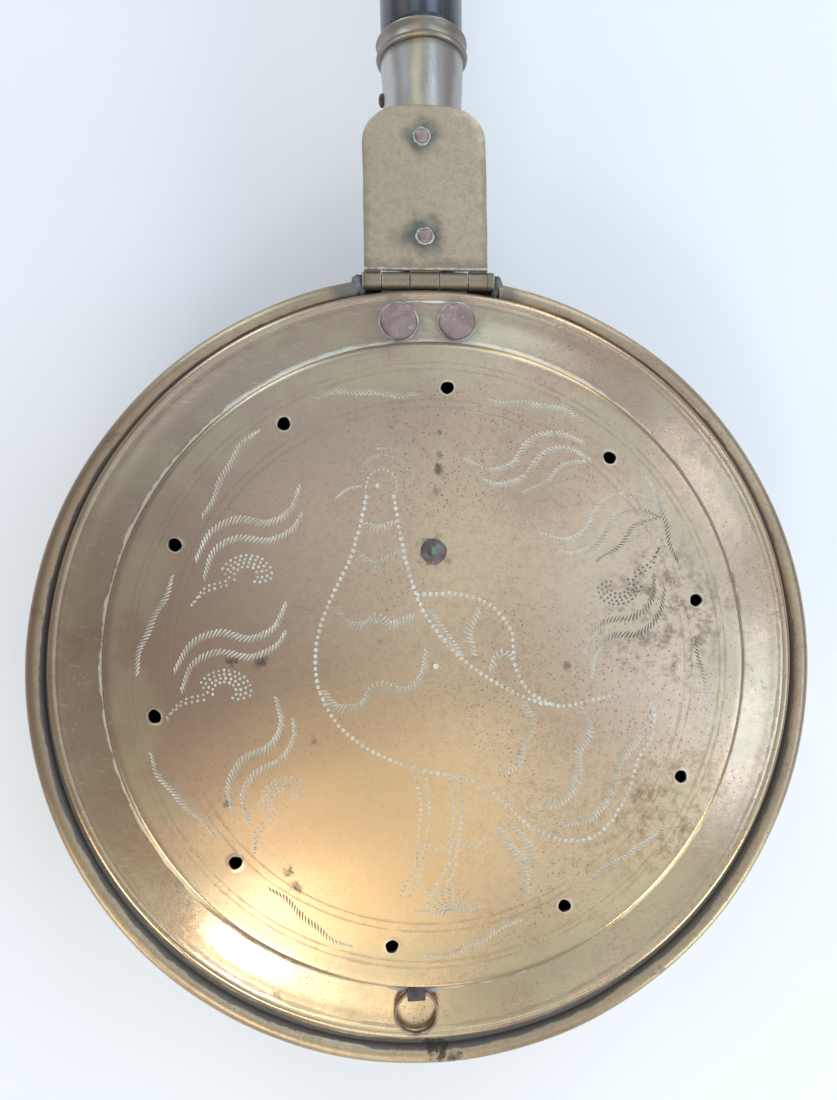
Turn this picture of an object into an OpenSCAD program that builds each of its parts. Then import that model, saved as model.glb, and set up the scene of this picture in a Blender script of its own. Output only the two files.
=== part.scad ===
// Bed-warming pan: a round brass pan for embers with a hinged, pierced and domed lid,
// a hinge plate riveted to a brass socket, and a long turned wooden handle.
// Millimetres. Origin: centre of the flat base underside. +Z up, handle along +Y.

/* [Pan] */
// Outer radius of the rolled rim
pan_r = 152; // [120:1:180]
// Height of the top of the rolled rim above the base
pan_h = 88; // [70:1:110]
// Radius of the flat part of the base
base_r = 110; // [80:1:120]
// Radius of the rounded corner between base and wall
corner_r = 26; // [15:1:35]
// Thickness of the pan sheet
pan_t = 1.2; // [0.8:0.1:2]
// Radius of the rolled rim bead
bead_r = 3.9; // [3:0.1:5]
// Radius of the iron wire inside the rim bead
rim_wire_r = 2.5; // [1.5:0.1:3]
// Half width of the gap cut in the rim for the hinge
notch_half = 27.7; // [26:0.1:32]

/* [Lid] */
// Outer radius of the lid
lid_r = 142.6; // [115:0.1:144]
// How far the lid centre sits towards the handle
lid_shift = 2.4; // [0:0.1:3]
// Thickness of the lid sheet
lid_t = 1.2; // [0.8:0.1:1.6]
// Radius of the rolled edge of the lid
lid_bead_r = 2.4; // [2:0.1:3]
// Radius of the iron wire inside the lid edge
lid_wire_r = 1.15; // [0.8:0.05:1.3]
// Height of the lid edge centre above the base
lid_edge_z = 88; // [86:0.1:90]
// Height of the flat flange top above the base
flange_z = 90.3; // [89:0.1:92]
// Outer radius of the riser between flange and dome
riser_r = 121.5; // [100:0.1:125]
// Radius of the rounded shoulder at the dome edge
shoulder_r = 3; // [2:0.1:3.5]
// Height of the shoulder top above the base
shoulder_z = 95.4; // [94:0.1:97]
// Rise of the dome from its shoulder to its crown
dome_rise = 9.2; // [5:0.1:15]
// Radii of the turned grooves in the dome
groove_radii = [95.2, 98.2, 110, 112.5]; // [90:0.5:115]
// Radius of the cutter for the turned grooves
groove_r = 0.6; // [0.3:0.1:1]
// Distances of the vent holes from the lid centre, punched by eye
vent_radii = [103, 102.2, 103, 103.6, 103, 104.7, 101.4, 102.8, 104.2, 104.5]; // [100:0.1:106]
// Radius of one vent hole
vent_r = 2.5; // [2:0.1:3]
// Directions of the vent holes, in degrees clockwise from the handle
vent_angles = [4, 42, 78, 116, 153, 190, 226, 261, 296, 329]; // [0:1:360]

/* [Hinge] */
// Distance of the hinge axis from the pan centre
hinge_y = 149.2; // [147:0.1:152]
// Sideways position of the middle of the hinge
hinge_mid = 1.2; // [-3:0.1:3]
// Height of the hinge axis above the base
hinge_z = 86; // [84:0.1:90]
// Outer radius of the hinge knuckles
knuckle_r = 3.5; // [3:0.1:4]
// Radius of the hinge pin
pin_r = 1.25; // [1:0.05:1.5]
// Running clearance of the hinge pin in its knuckles
pin_gap = 0.05; // [0.01:0.01:0.1]
// Half length of the hinge barrel
barrel_half = 25.6; // [22:0.1:26]
// Positions across the barrel, from its middle, where one knuckle ends and the next starts
knuckle_cuts = [-18.2, -7.2, 4.3, 15.4]; // [-25:0.1:25]
// Gap between neighbouring knuckles
knuckle_gap = 0.3; // [0.2:0.05:0.5]
// Half width of the lid leaf
leaf_half = 20; // [18:0.5:20]
// Radius of the large flat heads on the lid
lid_rivet_r = 7.2; // [5:0.1:8]
// Spacing of the two lid rivets
lid_rivet_gap = 22.4; // [18:0.2:26]
// Sideways position of the middle of the lid rivets
lid_rivet_mid = 0.5; // [-3:0.1:3]
// Distance of the lid rivets from the pan centre
lid_rivet_y = 132.2; // [128:0.1:134]

/* [Hinge plate] */
// Width of the hinge plate
plate_w = 47.6; // [40:0.1:50]
// Sideways position of the middle of the plate
plate_mid = 0.4; // [-3:0.1:3]
// Distance of the far end of the plate from the pan centre
plate_end_y = 217; // [200:1:222]
// Radius of the rounded plate corners
plate_corner_r = 17; // [5:1:23]
// Thickness of the hinge plate
plate_t = 1.5; // [1:0.1:2]
// Distances of the two plate rivets from the pan centre
plate_rivets_y = [165.6, 204.4]; // [155:0.1:212]
// Radius of the plate rivet heads
plate_rivet_r = 2.9; // [2:0.1:4]

/* [Socket] */
// Outer radius of the socket tube under the plate
socket_r = 15.8; // [14:0.1:17]
// Outer radius of the socket at its mouth
socket_mouth_r = 17; // [15:0.1:18]
// Bore radius of the socket
socket_bore_r = 14.3; // [12:0.1:14.5]
// Sideways position of the socket and handle axis
socket_x = 1.5; // [-3:0.1:3]
// Where the socket tube starts
socket_start_y = 153.4; // [153:0.1:156]
// Where the collar at the mouth starts
collar_y = 243.5; // [235:0.5:250]
// Length of the collar
collar_len = 8; // [6:0.5:12]
// Outer radius of the collar
collar_r = 18.9; // [17:0.1:20]
// Half angle of the wall bracket
bracket_half_angle = 11; // [9:0.5:12]

/* [Handle] */
// Radius of the handle next to the collar
handle_r = 16.6; // [14:0.1:18]
// Radius of the handle at the slim end of its taper
handle_waist_r = 11.6; // [10:0.1:14]
// Distance of the waist from the pan centre
waist_y = 640; // [500:5:700]
// Distance of the far end of the handle from the pan centre
handle_end_y = 880; // [780:5:1000]

/* [Rings] */
// Sideways position of the lift ring
lift_x = -8.3; // [-20:0.1:20]
// Distance of the lift ring pivot from the pan centre, towards the front
lift_pivot_y = 120.4; // [120:0.1:122]
// Height of the lift ring pivot
lift_pivot_z = 92; // [91.8:0.1:93]
// Mean radius of the lift ring
lift_mean_r = 7.9; // [6:0.1:10]
// Width of the lift ring band
lift_band_w = 2.2; // [2:0.1:3]
// Thickness of the lift ring band
lift_band_t = 1.2; // [1:0.1:2]
// Width of the staple strap
staple_w = 6.6; // [5:0.1:8]
// Mean radius of the loop in the eye at the handle end
eye_mean_r = 6; // [5:0.1:8]
// Wire radius of the eye
eye_wire_r = 1.7; // [1.2:0.1:2]
// Mean radius of the hanging ring
hang_mean_r = 12; // [10:0.5:20]
// Wire radius of the hanging ring
hang_wire_r = 1.5; // [1:0.1:2]

/* [Hidden] */
$fn = 64;
brass = [0.72, 0.6, 0.38];
dark_brass = [0.62, 0.52, 0.36];
copper = [0.62, 0.4, 0.32];
iron = [0.35, 0.33, 0.31];
ebony = [0.1, 0.11, 0.14];
slack = 0.05;
far = 400;

// rim bead and seat
bead_x = pan_r - bead_r;
bead_z = pan_h - bead_r;
seat_top = 84.9;
seat_t = 1.3;
seat_in = 137.2;
neck = [138.6, seat_top - seat_t];

// straight wall: tangent to the base corner circle, ending at the neck
reach = norm([neck[0] - base_r, neck[1] - corner_r]);
wall_phi = atan2(neck[1] - corner_r, neck[0] - base_r) - acos(corner_r / reach);
wall_n = [cos(wall_phi), sin(wall_phi)];
corner_c = [base_r, corner_r];
wall_foot = corner_c + corner_r * wall_n;

// point of the wall at height z, moved outwards by d
function wall_at(z, d) = [
  wall_foot[0] - (z - wall_foot[1]) * tan(wall_phi) + d * wall_n[0],
  z + d * wall_n[1]
];

// lid dome
dome_edge = riser_r - shoulder_r;
dome_r = (dome_edge * dome_edge + dome_rise * dome_rise) / (2 * dome_rise);
dome_c = shoulder_z + dome_rise - dome_r;
lid_bead_x = lid_r - lid_bead_r;
lid_under = flange_z - lid_t;

// hinge leaf levels
leaf_low = 84.3;
leaf_t = 1.2;
leaf_under = 1.5;
lid_rivet_x = [for (s = [-0.5, 0.5]) lid_rivet_mid + s * lid_rivet_gap];
bore_r = pin_r + pin_gap;
plate_top = hinge_z + knuckle_r;
plate_main_y = hinge_y + knuckle_r + 0.5;
knuckle_ends = [for (x = concat([-barrel_half], knuckle_cuts, [barrel_half])) x + hinge_mid];
leaf_end = hinge_y - knuckle_r - 1.1;

// socket, bracket and handle share one axis below the plate
axis_z = plate_top - plate_t - socket_r - slack;
plug_r = socket_bore_r - 0.1;
plug_start = 153.3;
tenon_start = 190;
handle_start = collar_y + collar_len + 0.1;
nail_y = 228;
eye_y = handle_end_y + 9;
eye_bore = 2.5;
hang_pivot_z = axis_z - eye_mean_r + eye_wire_r + hang_wire_r + 0.3;
rivet_y = [50, 70];
rivet_angle = 8;

// height of the dome surface at a distance r from the lid centre
function dome_z(r) = dome_c + sqrt(dome_r * dome_r - r * r);

// turn a profile about the handle axis: x is radius, y is distance along the handle
module about_handle() {
  translate([socket_x, 0, axis_z]) rotate([-90, 0, 0]) rotate_extrude() children();
}

// cylinder along X between two positions, centred on the hinge axis
module hinge_rod(x0, x1, r) {
  translate([x0, hinge_y, hinge_z]) rotate([0, 90, 0]) cylinder(h = x1 - x0, r = r);
}

// filled outline of the pan wall, moved inwards by d
module wall_fill(d) {
  top = wall_at(neck[1] + 2 * d, -d);
  foot = corner_c + (corner_r - d) * wall_n;
  translate(corner_c) circle(r = corner_r - d);
  polygon([[0, d], [base_r, d], corner_c, foot, top, [0, top[1]]]);
}

module rim_notch(extra) {
  half = notch_half + extra;
  translate([hinge_mid - half, 140, bead_z - bead_r - 1]) cube([2 * half, 20, 20]);
  translate([hinge_mid - half, 130, neck[1]]) cube([2 * half, 30, 20]);
}

module pan() {
  color(brass) difference() {
    rotate_extrude() {
      difference() {
        wall_fill(0);
        wall_fill(pan_t);
      }
      translate([seat_in, neck[1]]) square([bead_x - bead_r + 1 - seat_in, seat_t]);
      translate([bead_x, bead_z]) difference() {
        circle(r = bead_r);
        circle(r = rim_wire_r + 0.1);
      }
    }
    rim_notch(0);
    for (a = [-rivet_angle, rivet_angle], z = rivet_y) {
      rivet_frame(a, z) translate([0, 0, -6]) cylinder(h = 12, r = 2 + slack);
    }
  }
}

module pan_rim_wire() {
  color(iron) difference() {
    rotate_extrude() translate([bead_x, bead_z]) circle(r = rim_wire_r);
    rim_notch(0.1);
  }
}

// solder caps that close the two cut ends of the rolled rim
module rim_end_caps() {
  cap = 1.4;
  color(dark_brass) for (x = [-notch_half + 0.05, notch_half - cap - 0.05]) {
    intersection() {
      rotate_extrude() translate([bead_x, bead_z]) circle(r = bead_r);
      translate([hinge_mid + x, 140, bead_z - 10]) cube([cap, 20, 20]);
    }
  }
}

// one profile for the rolled edge, flange, riser, shoulder and dome of the lid
module lid_profile() {
  translate([lid_bead_x, lid_edge_z]) difference() {
    circle(r = lid_bead_r);
    circle(r = lid_wire_r + 0.1);
  }
  translate([riser_r - lid_t, lid_under]) square([lid_bead_x - 1.8 - riser_r + lid_t, lid_t]);
  translate([riser_r - lid_t, lid_under]) {
    square([lid_t, shoulder_z - shoulder_r - lid_under]);
  }
  intersection() {
    translate([dome_edge, shoulder_z - shoulder_r]) difference() {
      circle(r = shoulder_r);
      circle(r = shoulder_r - lid_t);
    }
    translate([dome_edge, shoulder_z - shoulder_r]) square([10, 10]);
  }
  intersection() {
    translate([0, dome_c]) difference() {
      circle(r = dome_r);
      circle(r = dome_r - lid_t);
    }
    translate([0, shoulder_z - lid_t]) square([dome_edge + 0.1, 20]);
  }
}

module lid() {
  color(brass) difference() {
    translate([0, lid_shift, 0]) difference() {
      rotate_extrude() difference() {
        lid_profile();
        for (r = groove_radii) {
          translate([r, dome_z(r) + 0.3]) circle(r = groove_r);
        }
      }
      for (k = [0 : len(vent_angles) - 1]) {
        rotate([0, 0, -vent_angles[k]]) translate([0, vent_radii[k], shoulder_z]) {
          cylinder(h = 20, r = vent_r);
        }
      }
      translate([0, 0, dome_z(0) + 0.8]) sphere(r = 1.3);
    }
    for (x = lid_rivet_x) {
      translate([x, lid_rivet_y, lid_under - 2]) cylinder(h = 5, r = 2 + slack);
    }
    translate([0, 44, 90]) cylinder(h = 20, r = 2 + slack);
    staple_strap(slack);
  }
}

module lid_rim_wire() {
  color(iron) translate([0, lid_shift, 0]) rotate_extrude() {
    translate([lid_bead_x, lid_edge_z]) circle(r = lid_wire_r);
  }
}

module lid_hinge_leaf() {
  top = lid_under - slack;
  color(brass) difference() {
    union() {
      translate([hinge_mid - leaf_half, 0, 0]) rotate([90, 0, 90]) {
        linear_extrude(2 * leaf_half) polygon([
          [125, top], [136.2, top], [137.8, leaf_low + leaf_t], [leaf_end, leaf_low + leaf_t],
          [leaf_end, leaf_low], [136.6, leaf_low], [135.2, top - leaf_under],
          [125, top - leaf_under]
        ]);
      }
      for (k = [1, 3]) {
        x0 = knuckle_ends[k] + knuckle_gap / 2;
        x1 = knuckle_ends[k + 1] - knuckle_gap / 2;
        translate([x0, leaf_end - 0.5, leaf_low]) {
          cube([x1 - x0, hinge_y - leaf_end + 0.5, leaf_t]);
        }
        hinge_rod(x0, x1, knuckle_r);
      }
    }
    hinge_rod(-far, far, bore_r);
    for (x = lid_rivet_x) {
      translate([x, lid_rivet_y, 80]) cylinder(h = 15, r = 2 + slack);
    }
  }
}

// large flat head on the flange, shank through flange and leaf, clenched below
module lid_rivet(x) {
  clench = lid_under - leaf_under - 2 * slack;
  color(copper) translate([x, lid_rivet_y, 0]) rotate_extrude() union() {
    polygon([
      [0, flange_z + 0.15], [lid_rivet_r, flange_z + 0.15], [lid_rivet_r, flange_z + 0.7],
      [lid_rivet_r - 0.7, flange_z + 1.2], [0, flange_z + 1.3]
    ]);
    polygon([[0, clench - 0.6], [2, clench - 0.6], [2, flange_z + 0.5], [0, flange_z + 0.5]]);
    polygon([[0, clench - 1.2], [2.2, clench - 1.2], [2.5, clench], [0, clench]]);
  }
}

module lid_rivet_left() {
  lid_rivet(lid_rivet_x[0]);
}

module lid_rivet_right() {
  lid_rivet(lid_rivet_x[1]);
}

// round plug that closes a worn hole in the dome
module lid_plug() {
  z = dome_z(42) - 0.05;
  color(copper) translate([0, 44, z]) rotate_extrude() polygon([
    [0, -2.4], [3, -2.4], [3.2, -1.7], [2, -1.6], [2, 0.5], [4.8, 0.4], [4.7, 0.9], [4.2, 1.2],
    [0, 1.4]
  ]);
}

// strap that leaves the shoulder, crosses the ring band and goes down through the flange
module staple_strap(extra) {
  t = 0.8 + 2 * extra;
  w = staple_w + 2 * extra;
  roof = lift_pivot_z + 2.1 - extra;
  front = -lift_pivot_y - 2.15 - 0.8 - extra;
  translate([lift_x - w / 2, front, roof]) cube([w, 7 + extra, t]);
  translate([lift_x - w / 2, front, lid_under - 1 - extra]) cube([w, t, roof + t - lid_under + 1]);
}

module ring_staple() {
  color(dark_brass) staple_strap(0);
}

module lift_ring() {
  color(copper) translate([lift_x, -lift_pivot_y - lift_mean_r, lift_pivot_z]) {
    rotate_extrude() translate([lift_mean_r - lift_band_t / 2, -lift_band_w / 2]) {
      square([lift_band_t, lift_band_w]);
    }
  }
}

module plate_outline() {
  half = plate_w / 2;
  straight = plate_end_y - plate_corner_r;
  translate([plate_mid - half, plate_main_y]) square([plate_w, straight - plate_main_y]);
  translate([plate_mid + plate_corner_r - half, plate_main_y]) {
    square([plate_w - 2 * plate_corner_r, plate_end_y - plate_main_y]);
  }
  for (x = [plate_corner_r - half, half - plate_corner_r]) {
    translate([plate_mid + x, straight]) circle(r = plate_corner_r);
  }
}

module hinge_plate() {
  color(brass) difference() {
    union() {
      translate([0, 0, plate_top - plate_t]) linear_extrude(plate_t) plate_outline();
      for (k = [0, 2, 4]) {
        x0 = knuckle_ends[k] + (k == 0 ? 0 : knuckle_gap / 2);
        x1 = knuckle_ends[k + 1] - (k == 4 ? 0 : knuckle_gap / 2);
        tab0 = max(x0, plate_mid - plate_w / 2);
        tab1 = min(x1, plate_mid + plate_w / 2);
        translate([tab0, hinge_y, plate_top - plate_t]) {
          cube([tab1 - tab0, plate_main_y + 1 - hinge_y, plate_t]);
        }
        hinge_rod(x0, x1, knuckle_r);
      }
    }
    hinge_rod(-far, far, bore_r);
    for (y = plate_rivets_y) {
      translate([0, y, 80]) cylinder(h = 15, r = 1.6 + slack);
    }
  }
}

module hinge_pin() {
  end = barrel_half + 0.4;
  color(iron) hinge_rod(hinge_mid - end, hinge_mid + end, pin_r);
}

// rivet down through the plate: head on top, plain or clenched end at depth
module plate_rivet(y, depth, clench) {
  head = plate_top + slack;
  color(copper) translate([0, y, head]) rotate_extrude() union() {
    polygon([
      [0, 0], [plate_rivet_r, 0], [plate_rivet_r - 0.2, 0.6], [plate_rivet_r - 1, 1.1], [0, 1.3]
    ]);
    polygon([[0, -depth], [1.6, -depth], [1.6, 0.1], [0, 0.1]]);
    polygon([[0, -depth - 1], [clench, -depth - 1], [clench, -depth], [0, -depth]]);
  }
}

module plate_rivet_lower() {
  plate_rivet(plate_rivets_y[0], 7, 2.6);
}

module plate_rivet_upper() {
  plate_rivet(plate_rivets_y[1], 20, 1.2);
}

// frame on the pan wall: local z leaves the wall at right angles
module rivet_frame(a, z) {
  p = wall_at(z, 0);
  rotate([0, 0, 90 + a]) translate([p[0], 0, p[1]]) rotate([0, 90 - wall_phi, 0]) children();
}

// curved plate on the pan wall, a neck under the rim and a hollow plug inside the socket
module wall_bracket() {
  low = 40;
  high = 79;
  neck_len = socket_start_y - slack - 130;
  color(dark_brass) difference() {
    union() {
      rotate([0, 0, 90 - bracket_half_angle]) rotate_extrude(angle = 2 * bracket_half_angle) {
        polygon([
          wall_at(low, slack), wall_at(low, slack + 2.4),
          wall_at(high, slack + 2.4), wall_at(high, slack)
        ]);
      }
      intersection() {
        translate([socket_x - 11, 130, axis_z - 12]) cube([22, neck_len, high - axis_z + 12]);
        difference() {
          cylinder(h = 100, r = 200);
          translate([0, 0, -1]) cylinder(h = 102, r = wall_at(high, slack + 1.2)[0]);
        }
      }
      translate([socket_x, plug_start, axis_z]) rotate([-90, 0, 0]) {
        cylinder(h = 33, r = plug_r);
      }
    }
    translate([socket_x, plug_start + 3, axis_z]) rotate([-90, 0, 0]) {
      cylinder(h = 40, r = 11.4);
    }
    translate([0, plate_rivets_y[0], axis_z]) cylinder(h = 20, r = 1.6 + slack);
    for (a = [-rivet_angle, rivet_angle], z = rivet_y) {
      rivet_frame(a, z) translate([0, 0, -6]) cylinder(h = 12, r = 2 + slack);
    }
  }
}

module bracket_rivets() {
  outside = 2.4 + 2 * slack;
  inside = -pan_t - slack;
  color(copper) for (a = [-rivet_angle, rivet_angle], z = rivet_y) {
    rivet_frame(a, z) rotate_extrude() polygon([
      [0, inside - 1.2], [2.6, inside - 1], [3.3, inside], [2, inside], [2, outside],
      [4, outside], [3.6, outside + 1], [2.4, outside + 1.8], [0, outside + 2.1]
    ]);
  }
}

module socket() {
  end = collar_y - slack;
  color(brass) difference() {
    about_handle() polygon([
      [socket_bore_r, socket_start_y], [socket_r, socket_start_y], [socket_r, 220],
      [socket_r + 0.3, 230], [socket_mouth_r, end], [socket_bore_r, end]
    ]);
    for (y = plate_rivets_y) {
      translate([0, y, axis_z]) cylinder(h = 20, r = 1.6 + slack);
    }
    nail_hole(1.3 + slack);
  }
}

module socket_collar() {
  end = collar_y + collar_len;
  mid = collar_y + collar_len / 2;
  color(brass) about_handle() polygon([
    [socket_bore_r, collar_y], [socket_mouth_r + 0.4, collar_y], [collar_r - 0.4, collar_y + 1],
    [collar_r, collar_y + 2.2], [collar_r - 0.5, mid], [collar_r, end - 2.2],
    [collar_r - 0.4, end - 1], [socket_mouth_r + 0.6, end], [socket_bore_r, end]
  ]);
}

// sideways hole for the nail that holds the handle in the socket
module nail_hole(r) {
  translate([socket_x - 30, nail_y, axis_z]) rotate([0, 90, 0]) cylinder(h = 40, r = r);
}

// radius of the slow swell of the grip at distance y
function grip_r(y) = handle_waist_r + 2.6 * sin(180 * (y - 672) / (handle_end_y - 42 - 672));

module handle() {
  tip = handle_end_y;
  color(ebony) difference() {
    about_handle() {
      polygon(concat(
        [[0, tenon_start], [plug_r, tenon_start], [plug_r, handle_start - 0.05],
         [handle_r - 0.6, handle_start - 0.05], [handle_r, handle_start + 1.5],
         [handle_r + 0.2, 300], [handle_r - 1.2, 420], [handle_waist_r + 1.2, 560],
         [handle_waist_r, waist_y - 14], [handle_waist_r + 0.6, waist_y - 6],
         [handle_waist_r - 1.4, waist_y], [handle_waist_r + 3, waist_y + 6],
         [handle_waist_r + 3, waist_y + 12], [handle_waist_r - 1.4, waist_y + 18],
         [handle_waist_r + 0.4, waist_y + 26]],
        [for (y = [672 : 11 : tip - 42]) [grip_r(y), y]],
        [[handle_waist_r - 3, tip - 34], [handle_waist_r - 2, tip - 30],
         [handle_waist_r + 1.2, tip - 26], [handle_waist_r - 2.4, tip - 22], [0, tip - 22]]
      ));
      intersection() {
        translate([0, tip - 13.5]) circle(r = 13);
        translate([0, tip - 30]) square([20, 30]);
      }
    }
    translate([socket_x, tip - 20, axis_z]) rotate([-90, 0, 0]) {
      cylinder(h = 30, r = eye_bore + slack);
    }
    translate([0, plate_rivets_y[1], axis_z - 4]) cylinder(h = 30, r = 1.6 + slack);
    nail_hole(1.3 + slack);
  }
}

// nail through one side of the socket into the handle
module handle_pin() {
  head = socket_r + 0.4;
  color(iron) translate([socket_x, nail_y, axis_z]) rotate([0, -90, 0]) rotate_extrude() polygon([
    [0, -9], [1.3, -8], [1.3, head], [2.7, head], [2.6, head + 1], [1.6, head + 1.6],
    [0, head + 1.8]
  ]);
}

// eye with a threaded shank, a small flange and a closed loop
module handle_eye() {
  color(iron) translate([socket_x, 0, axis_z]) {
    rotate([-90, 0, 0]) rotate_extrude() polygon([
      [0, handle_end_y - 19], [eye_bore, handle_end_y - 17], [eye_bore, handle_end_y + 0.1],
      [5, handle_end_y + 0.1], [4.6, handle_end_y + 1.4], [1.8, handle_end_y + 2],
      [1.6, eye_y - eye_mean_r], [0, eye_y - eye_mean_r]
    ]);
    translate([0, eye_y, 0]) rotate([0, 90, 0]) rotate_extrude() {
      translate([eye_mean_r, 0]) circle(r = eye_wire_r);
    }
  }
}

module hanging_ring() {
  color(iron) translate([socket_x, eye_y, hang_pivot_z - hang_mean_r]) rotate([90, 0, 0]) {
    rotate_extrude() translate([hang_mean_r, 0]) circle(r = hang_wire_r);
  }
}

pan();
pan_rim_wire();
rim_end_caps();
lid();
lid_rim_wire();
lid_hinge_leaf();
lid_rivet_left();
lid_rivet_right();
lid_plug();
ring_staple();
lift_ring();
hinge_plate();
hinge_pin();
plate_rivet_lower();
plate_rivet_upper();
wall_bracket();
bracket_rivets();
socket();
socket_collar();
handle();
handle_pin();
handle_eye();
hanging_ring();
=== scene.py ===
import math
import random

import bmesh
import bpy
import numpy as np
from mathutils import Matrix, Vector
from mathutils.geometry import delaunay_2d_cdt


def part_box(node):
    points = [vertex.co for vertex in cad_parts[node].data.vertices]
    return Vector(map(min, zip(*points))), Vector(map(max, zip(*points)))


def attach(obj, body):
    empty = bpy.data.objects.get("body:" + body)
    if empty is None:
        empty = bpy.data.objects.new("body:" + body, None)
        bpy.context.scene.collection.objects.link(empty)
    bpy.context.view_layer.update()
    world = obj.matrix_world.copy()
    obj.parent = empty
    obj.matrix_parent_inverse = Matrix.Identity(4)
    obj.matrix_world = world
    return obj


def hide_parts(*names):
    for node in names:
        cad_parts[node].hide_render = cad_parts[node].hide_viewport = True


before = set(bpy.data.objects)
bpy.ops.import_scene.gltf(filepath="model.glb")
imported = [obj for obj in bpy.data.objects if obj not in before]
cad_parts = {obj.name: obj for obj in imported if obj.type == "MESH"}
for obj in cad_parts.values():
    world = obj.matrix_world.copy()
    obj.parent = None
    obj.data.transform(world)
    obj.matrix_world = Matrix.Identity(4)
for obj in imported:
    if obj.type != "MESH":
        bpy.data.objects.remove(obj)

MM = 0.001
TAU = 2 * math.pi
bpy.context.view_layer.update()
rng = random.Random(7)
RIM_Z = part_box("pan")[1].z / MM

# ---------------------------------------------------------------- camera, lights and floor
# Each light: name, direction it comes from (degrees round from +X), height angle, distance, side, watts, colour.
LIGHTS = [
    ("overhead", 60, 82, 1.8, 0.7, 1.90, (0.76, 0.95, 1.00)),
    ("high_right", 15, 64, 1.8, 0.7, 1.54, (0.49, 0.69, 1.00)),
    ("high_back", 75, 64, 1.8, 0.7, 0.51, (0.56, 0.77, 1.00)),
    ("high_left_back", 135, 64, 1.8, 0.7, 0.84, (0.49, 0.75, 1.00)),
    ("high_front", 295, 64, 1.8, 0.7, 1.65, (0.89, 0.96, 0.98)),
    ("right_back", 20, 42, 1.8, 0.7, 2.49, (0.56, 0.69, 1.00)),
    ("back", 65, 42, 1.8, 0.7, 4.47, (0.56, 0.77, 1.00)),
    ("back_left", 110, 42, 1.8, 0.7, 2.21, (0.68, 0.89, 1.00)),
    ("front", 262, 42, 1.8, 0.7, 2.31, (0.97, 0.96, 0.81)),
    ("front_right", 300, 42, 1.8, 0.7, 0.87, (0.64, 0.88, 1.00)),
    ("right", 340, 42, 1.8, 0.7, 4.37, (0.54, 0.69, 1.00)),
    ("low_back_right", 60, 17, 1.8, 0.7, 4.89, (0.91, 0.96, 0.80)),
    ("low_back_left", 120, 17, 1.8, 0.7, 6.10, (0.70, 0.94, 1.00)),
    ("low_front_left", 225, 17, 1.8, 0.7, 5.57, (1.00, 0.96, 0.81)),
    ("low_front", 270, 17, 1.8, 0.7, 2.47, (0.89, 0.96, 0.90)),
    ("low_front_right", 315, 17, 1.8, 0.7, 9.68, (0.78, 0.96, 0.78)),
    ("window_front_left", 247, 44, 1.8, 0.3, 3.1, (1.00, 0.94, 0.90)),
    ("window_high_left", 245, 56, 1.8, 0.25, 0.4, (1.00, 0.94, 0.90)),
    ("window_back_left", 143, 72, 1.8, 0.2, 0.5, (1.00, 0.90, 0.80)),
]
SKY = (0.95, 0.92, 1.0)
SKY_STRENGTH = 0.39


def make_camera():
    cam = bpy.data.objects.new("camera", bpy.data.cameras.new("camera"))
    cam.location = (-0.0274, 0.0402, RIM_Z * MM + 0.2984)
    cam.rotation_euler = [math.radians(a) for a in (0.97, -4.40, -0.95)]
    cam.data.sensor_fit = "VERTICAL"
    cam.data.sensor_height = 36
    cam.data.lens = 25.53
    cam.data.clip_start = 0.01
    bpy.context.scene.collection.objects.link(cam)
    bpy.context.scene.camera = cam


def make_light(name, around, height, distance, side, power, color):
    data = bpy.data.lights.new(name, "AREA")
    data.shape = "DISK"
    data.size = side
    data.energy = power
    data.color = color
    light = bpy.data.objects.new(name, data)
    a, h = math.radians(around), math.radians(height)
    way = Vector((math.cos(a) * math.cos(h), math.sin(a) * math.cos(h), math.sin(h)))
    light.location = Vector((0, 0.03, 0.08)) + way * distance
    light.rotation_euler = way.to_track_quat("Z", "Y").to_euler()
    bpy.context.scene.collection.objects.link(light)


def make_world():
    world = bpy.data.worlds.new("studio")
    bpy.context.scene.world = world
    world.use_nodes = True
    back = world.node_tree.nodes["Background"]
    back.inputs["Color"].default_value = (*SKY, 1)
    back.inputs["Strength"].default_value = SKY_STRENGTH


make_camera()
make_world()
for light_row in LIGHTS:
    make_light(*light_row)


# ---------------------------------------------------------------- small mesh kit, in millimetres
def make_piece(name, shape, body, mats, face_mats=None, angle=35, replaces=()):
    verts, faces = shape
    mesh = bpy.data.meshes.new(name)
    mesh.from_pydata([tuple(c * MM for c in v) for v in verts], [], faces)
    for mat in mats:
        mesh.materials.append(mat)
    if face_mats is not None:
        mesh.polygons.foreach_set("material_index", np.array(face_mats, dtype=np.int32))
    mesh.validate()
    piece = bpy.data.objects.new(name, mesh)
    bpy.context.scene.collection.objects.link(piece)
    fix_normals(piece)
    soften(piece, angle)
    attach(piece, body)
    if replaces:
        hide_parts(*replaces)
    return piece


def soften(piece, angle):
    piece.data.shade_smooth()
    piece.data.set_sharp_from_angle(angle=math.radians(angle))


def fix_normals(piece):
    bm = bmesh.new()
    bm.from_mesh(piece.data)
    bmesh.ops.recalc_face_normals(bm, faces=bm.faces)
    bm.to_mesh(piece.data)
    bm.free()


def arc(cx, cz, r, a0, a1, n):
    steps = [math.radians(a0 + (a1 - a0) * i / n) for i in range(n + 1)]
    return [(cx + r * math.cos(a), cz + r * math.sin(a)) for a in steps]


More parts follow.
